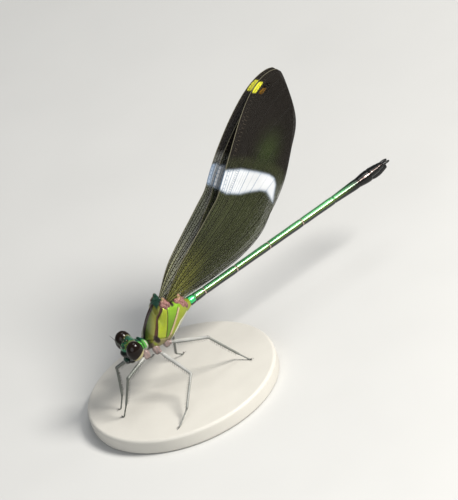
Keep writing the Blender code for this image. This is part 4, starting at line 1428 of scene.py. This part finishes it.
class DAMSELFLY_OT_wing_roots(bpy.types.Operator):
    """Builds the mauve folded plates at the roots of the four wings"""

    bl_idname = "damselfly.wing_roots"
    bl_label = "Wing roots"

    def execute(self, context):
        for name, spec, side in each_wing():
            centre = np.array(spec["plates"][0][0])
            rings = blob(spec["plates"], centre, *GRIDS["root"], 16.0)
            left, back, up = np.moveaxis(rings - centre, -1, 0)
            folds = np.sin(back * 5.0 - up * 3.4 + 1.3 * np.sin(up * 4.0))
            folds += 0.6 * np.sin(up * 7.5 + back * 3.0)
            fine = np.sin(back * 12.0 + up * 8.0 + 2.0 * np.sin(left * 8.0 + up * 5.0))
            crease = 0.06 * np.exp(-((folds / 0.35) ** 2)) + 0.025 * np.exp(-((fine / 0.3) ** 2))
            rings = swollen(rings, centre, -crease)
            tint = coats(
                filled("pink", rings.shape),
                # Painted shade: the creases of the folds are painted dark
                ("plate_stripe", np.clip(crease * 13, 0, 0.8)),
                ("root_stain", np.exp(-((left - 0.1) ** 2 + back**2 + (up - 0.85) ** 2) / 0.09) * 0.7),
                (colours("head_green") * 0.35, 1 - step(-0.20, 0.15, left)),
            )
            skin(f"{name}_root", rings * (side, 1, 1), tint, "wing_root", "thorax_skin")
        return {"FINISHED"}


class DAMSELFLY_OT_base(bpy.types.Operator):
    """Builds the round display base: a turned plate whose two edges are quarter circles"""

    bl_idname = "damselfly.base"
    bl_label = "Display base"

    def execute(self, context):
        low, high = (np.array(corner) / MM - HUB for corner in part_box("stand_base"))
        radius, height = (high[0] - low[0]) / 2, high[2] - low[2]
        bend = np.linspace(0, np.pi / 2, EDGE_ROWS)
        inner = [radius * 0.1]
        rising, falling = BASE_EDGE * (1 - np.sin(bend)), BASE_EDGE * (1 - np.cos(bend))
        out = np.concatenate((inner, radius - rising, radius - falling, inner))[:, None]
        up = np.concatenate(([0.0], falling, height - rising, [height]))[:, None]
        angle = np.linspace(0, 2 * np.pi, BASE_SIDES, endpoint=False)
        centre = (low + high) / 2
        across = centre[0] + out * np.cos(angle)
        rings = np.stack((across, centre[1] + out * np.sin(angle), low[2] + up + 0 * across), -1)
        piece("base_plate", closed(rings), None, "base", "base_skin", "stand_base")
        return {"FINISHED"}


def soft_light(name, direction, distance, size, power, tone):
    """A round soft lamp that looks at the hub."""
    lamp = bpy.data.lights.new(name, "AREA")
    lamp.shape = "DISK"
    lamp.size = size
    lamp.energy = power
    lamp.color = tone
    made = bpy.data.objects.new(name, lamp)
    way = Vector(direction).normalized()
    made.location = Vector(world((0.0, 0.0, 0.0))) + way * distance
    made.rotation_mode = "QUATERNION"
    made.rotation_quaternion = way.to_track_quat("Z", "Y")
    bpy.context.scene.collection.objects.link(made)


def photo_camera():
    """A long lens on the photo's line of sight, moved sideways so that the hub lands on its pixel."""
    camera = bpy.data.cameras.new("camera")
    camera.sensor_width = SENSOR
    distance = sizes().camera_distance
    camera.lens = SENSOR * distance / (IMAGE_HEIGHT / PIXELS_PER_MM * MM)
    camera.clip_start = distance * 0.1
    camera.clip_end = distance * 10
    made = bpy.data.objects.new("camera", camera)
    across = (IMAGE_WIDTH / 2 - HUB_PIXEL[0]) / PIXELS_PER_MM * MM
    rise = (HUB_PIXEL[1] - IMAGE_HEIGHT / 2) / PIXELS_PER_MM * MM
    pose = Matrix((VIEW_RIGHT, VIEW_UP, VIEW_BACK)).transposed().to_4x4()
    hub = Vector(world((0.0, 0.0, 0.0)))
    pose.translation = hub + VIEW_RIGHT * across + VIEW_UP * rise + VIEW_BACK * distance
    made.matrix_world = pose
    bpy.context.scene.collection.objects.link(made)
    bpy.context.scene.camera = made


class DAMSELFLY_OT_stage(bpy.types.Operator):
    """Builds the floor, the soft studio light and the camera at the photo's angle"""

    bl_idname = "damselfly.stage"
    bl_label = "Floor, light and camera"

    def execute(self, context):
        half = sizes().floor
        mesh = bpy.data.meshes.new("floor")
        corners = [(-half, -half, 0), (half, -half, 0), (half, half, 0), (-half, half, 0)]
        mesh.from_pydata(corners, [], [(0, 1, 2, 3)])
        mesh.materials.append(MATERIALS["floor"])
        floor = bpy.data.objects.new("floor", mesh)
        context.scene.collection.objects.link(floor)
        sky = bpy.data.worlds.new("studio")
        context.scene.world = sky
        context.scene.view_settings.view_transform = "Standard"
        sky.use_nodes = True
        sky.node_tree.nodes["Background"].inputs["Color"].default_value = SKY_TONE
        sky.node_tree.nodes["Background"].inputs["Strength"].default_value = SKY_STRENGTH
        for lamp in LAMPS:
            soft_light(*lamp)
        photo_camera()
        return {"FINISHED"}


OPERATORS = (
    DAMSELFLY_OT_thorax,
    DAMSELFLY_OT_collar,
    DAMSELFLY_OT_abdomen,
    DAMSELFLY_OT_abdomen_end,
    DAMSELFLY_OT_head,
    DAMSELFLY_OT_eyes,
    DAMSELFLY_OT_mouth,
    DAMSELFLY_OT_feelers,
    DAMSELFLY_OT_legs,
    DAMSELFLY_OT_wing_roots,
    DAMSELFLY_OT_membranes,
    DAMSELFLY_OT_veins,
    DAMSELFLY_OT_base,
    DAMSELFLY_OT_stage,
)


class DAMSELFLY_PT_panel(bpy.types.Panel):
    """Lists the model's parts in the sidebar"""

    bl_label = "Damselfly"
    bl_space_type = "VIEW_3D"
    bl_region_type = "UI"
    bl_category = "Damselfly"

    def draw(self, context):
        for group in (context.scene.damselfly_sizes, context.scene.damselfly_colours):
            for name in group.__annotations__:
                self.layout.prop(group, name)
        for operator in OPERATORS:
            self.layout.operator(operator.bl_idname)


CLASSES = (DamselflySizes, DamselflyColours, *OPERATORS, DAMSELFLY_PT_panel)


def register():
    for cls in CLASSES:
        bpy.utils.register_class(cls)
    bpy.types.Scene.damselfly_sizes = bpy.props.PointerProperty(type=DamselflySizes)
    bpy.types.Scene.damselfly_colours = bpy.props.PointerProperty(type=DamselflyColours)


def unregister():
    del bpy.types.Scene.damselfly_colours
    del bpy.types.Scene.damselfly_sizes
    for cls in reversed(CLASSES):
        bpy.utils.unregister_class(cls)


def main():
    register()
    make_materials()
    for operator in OPERATORS:
        group, name = operator.bl_idname.split(".")
        getattr(getattr(bpy.ops, group), name)()


if __name__ == "__main__":
    main()
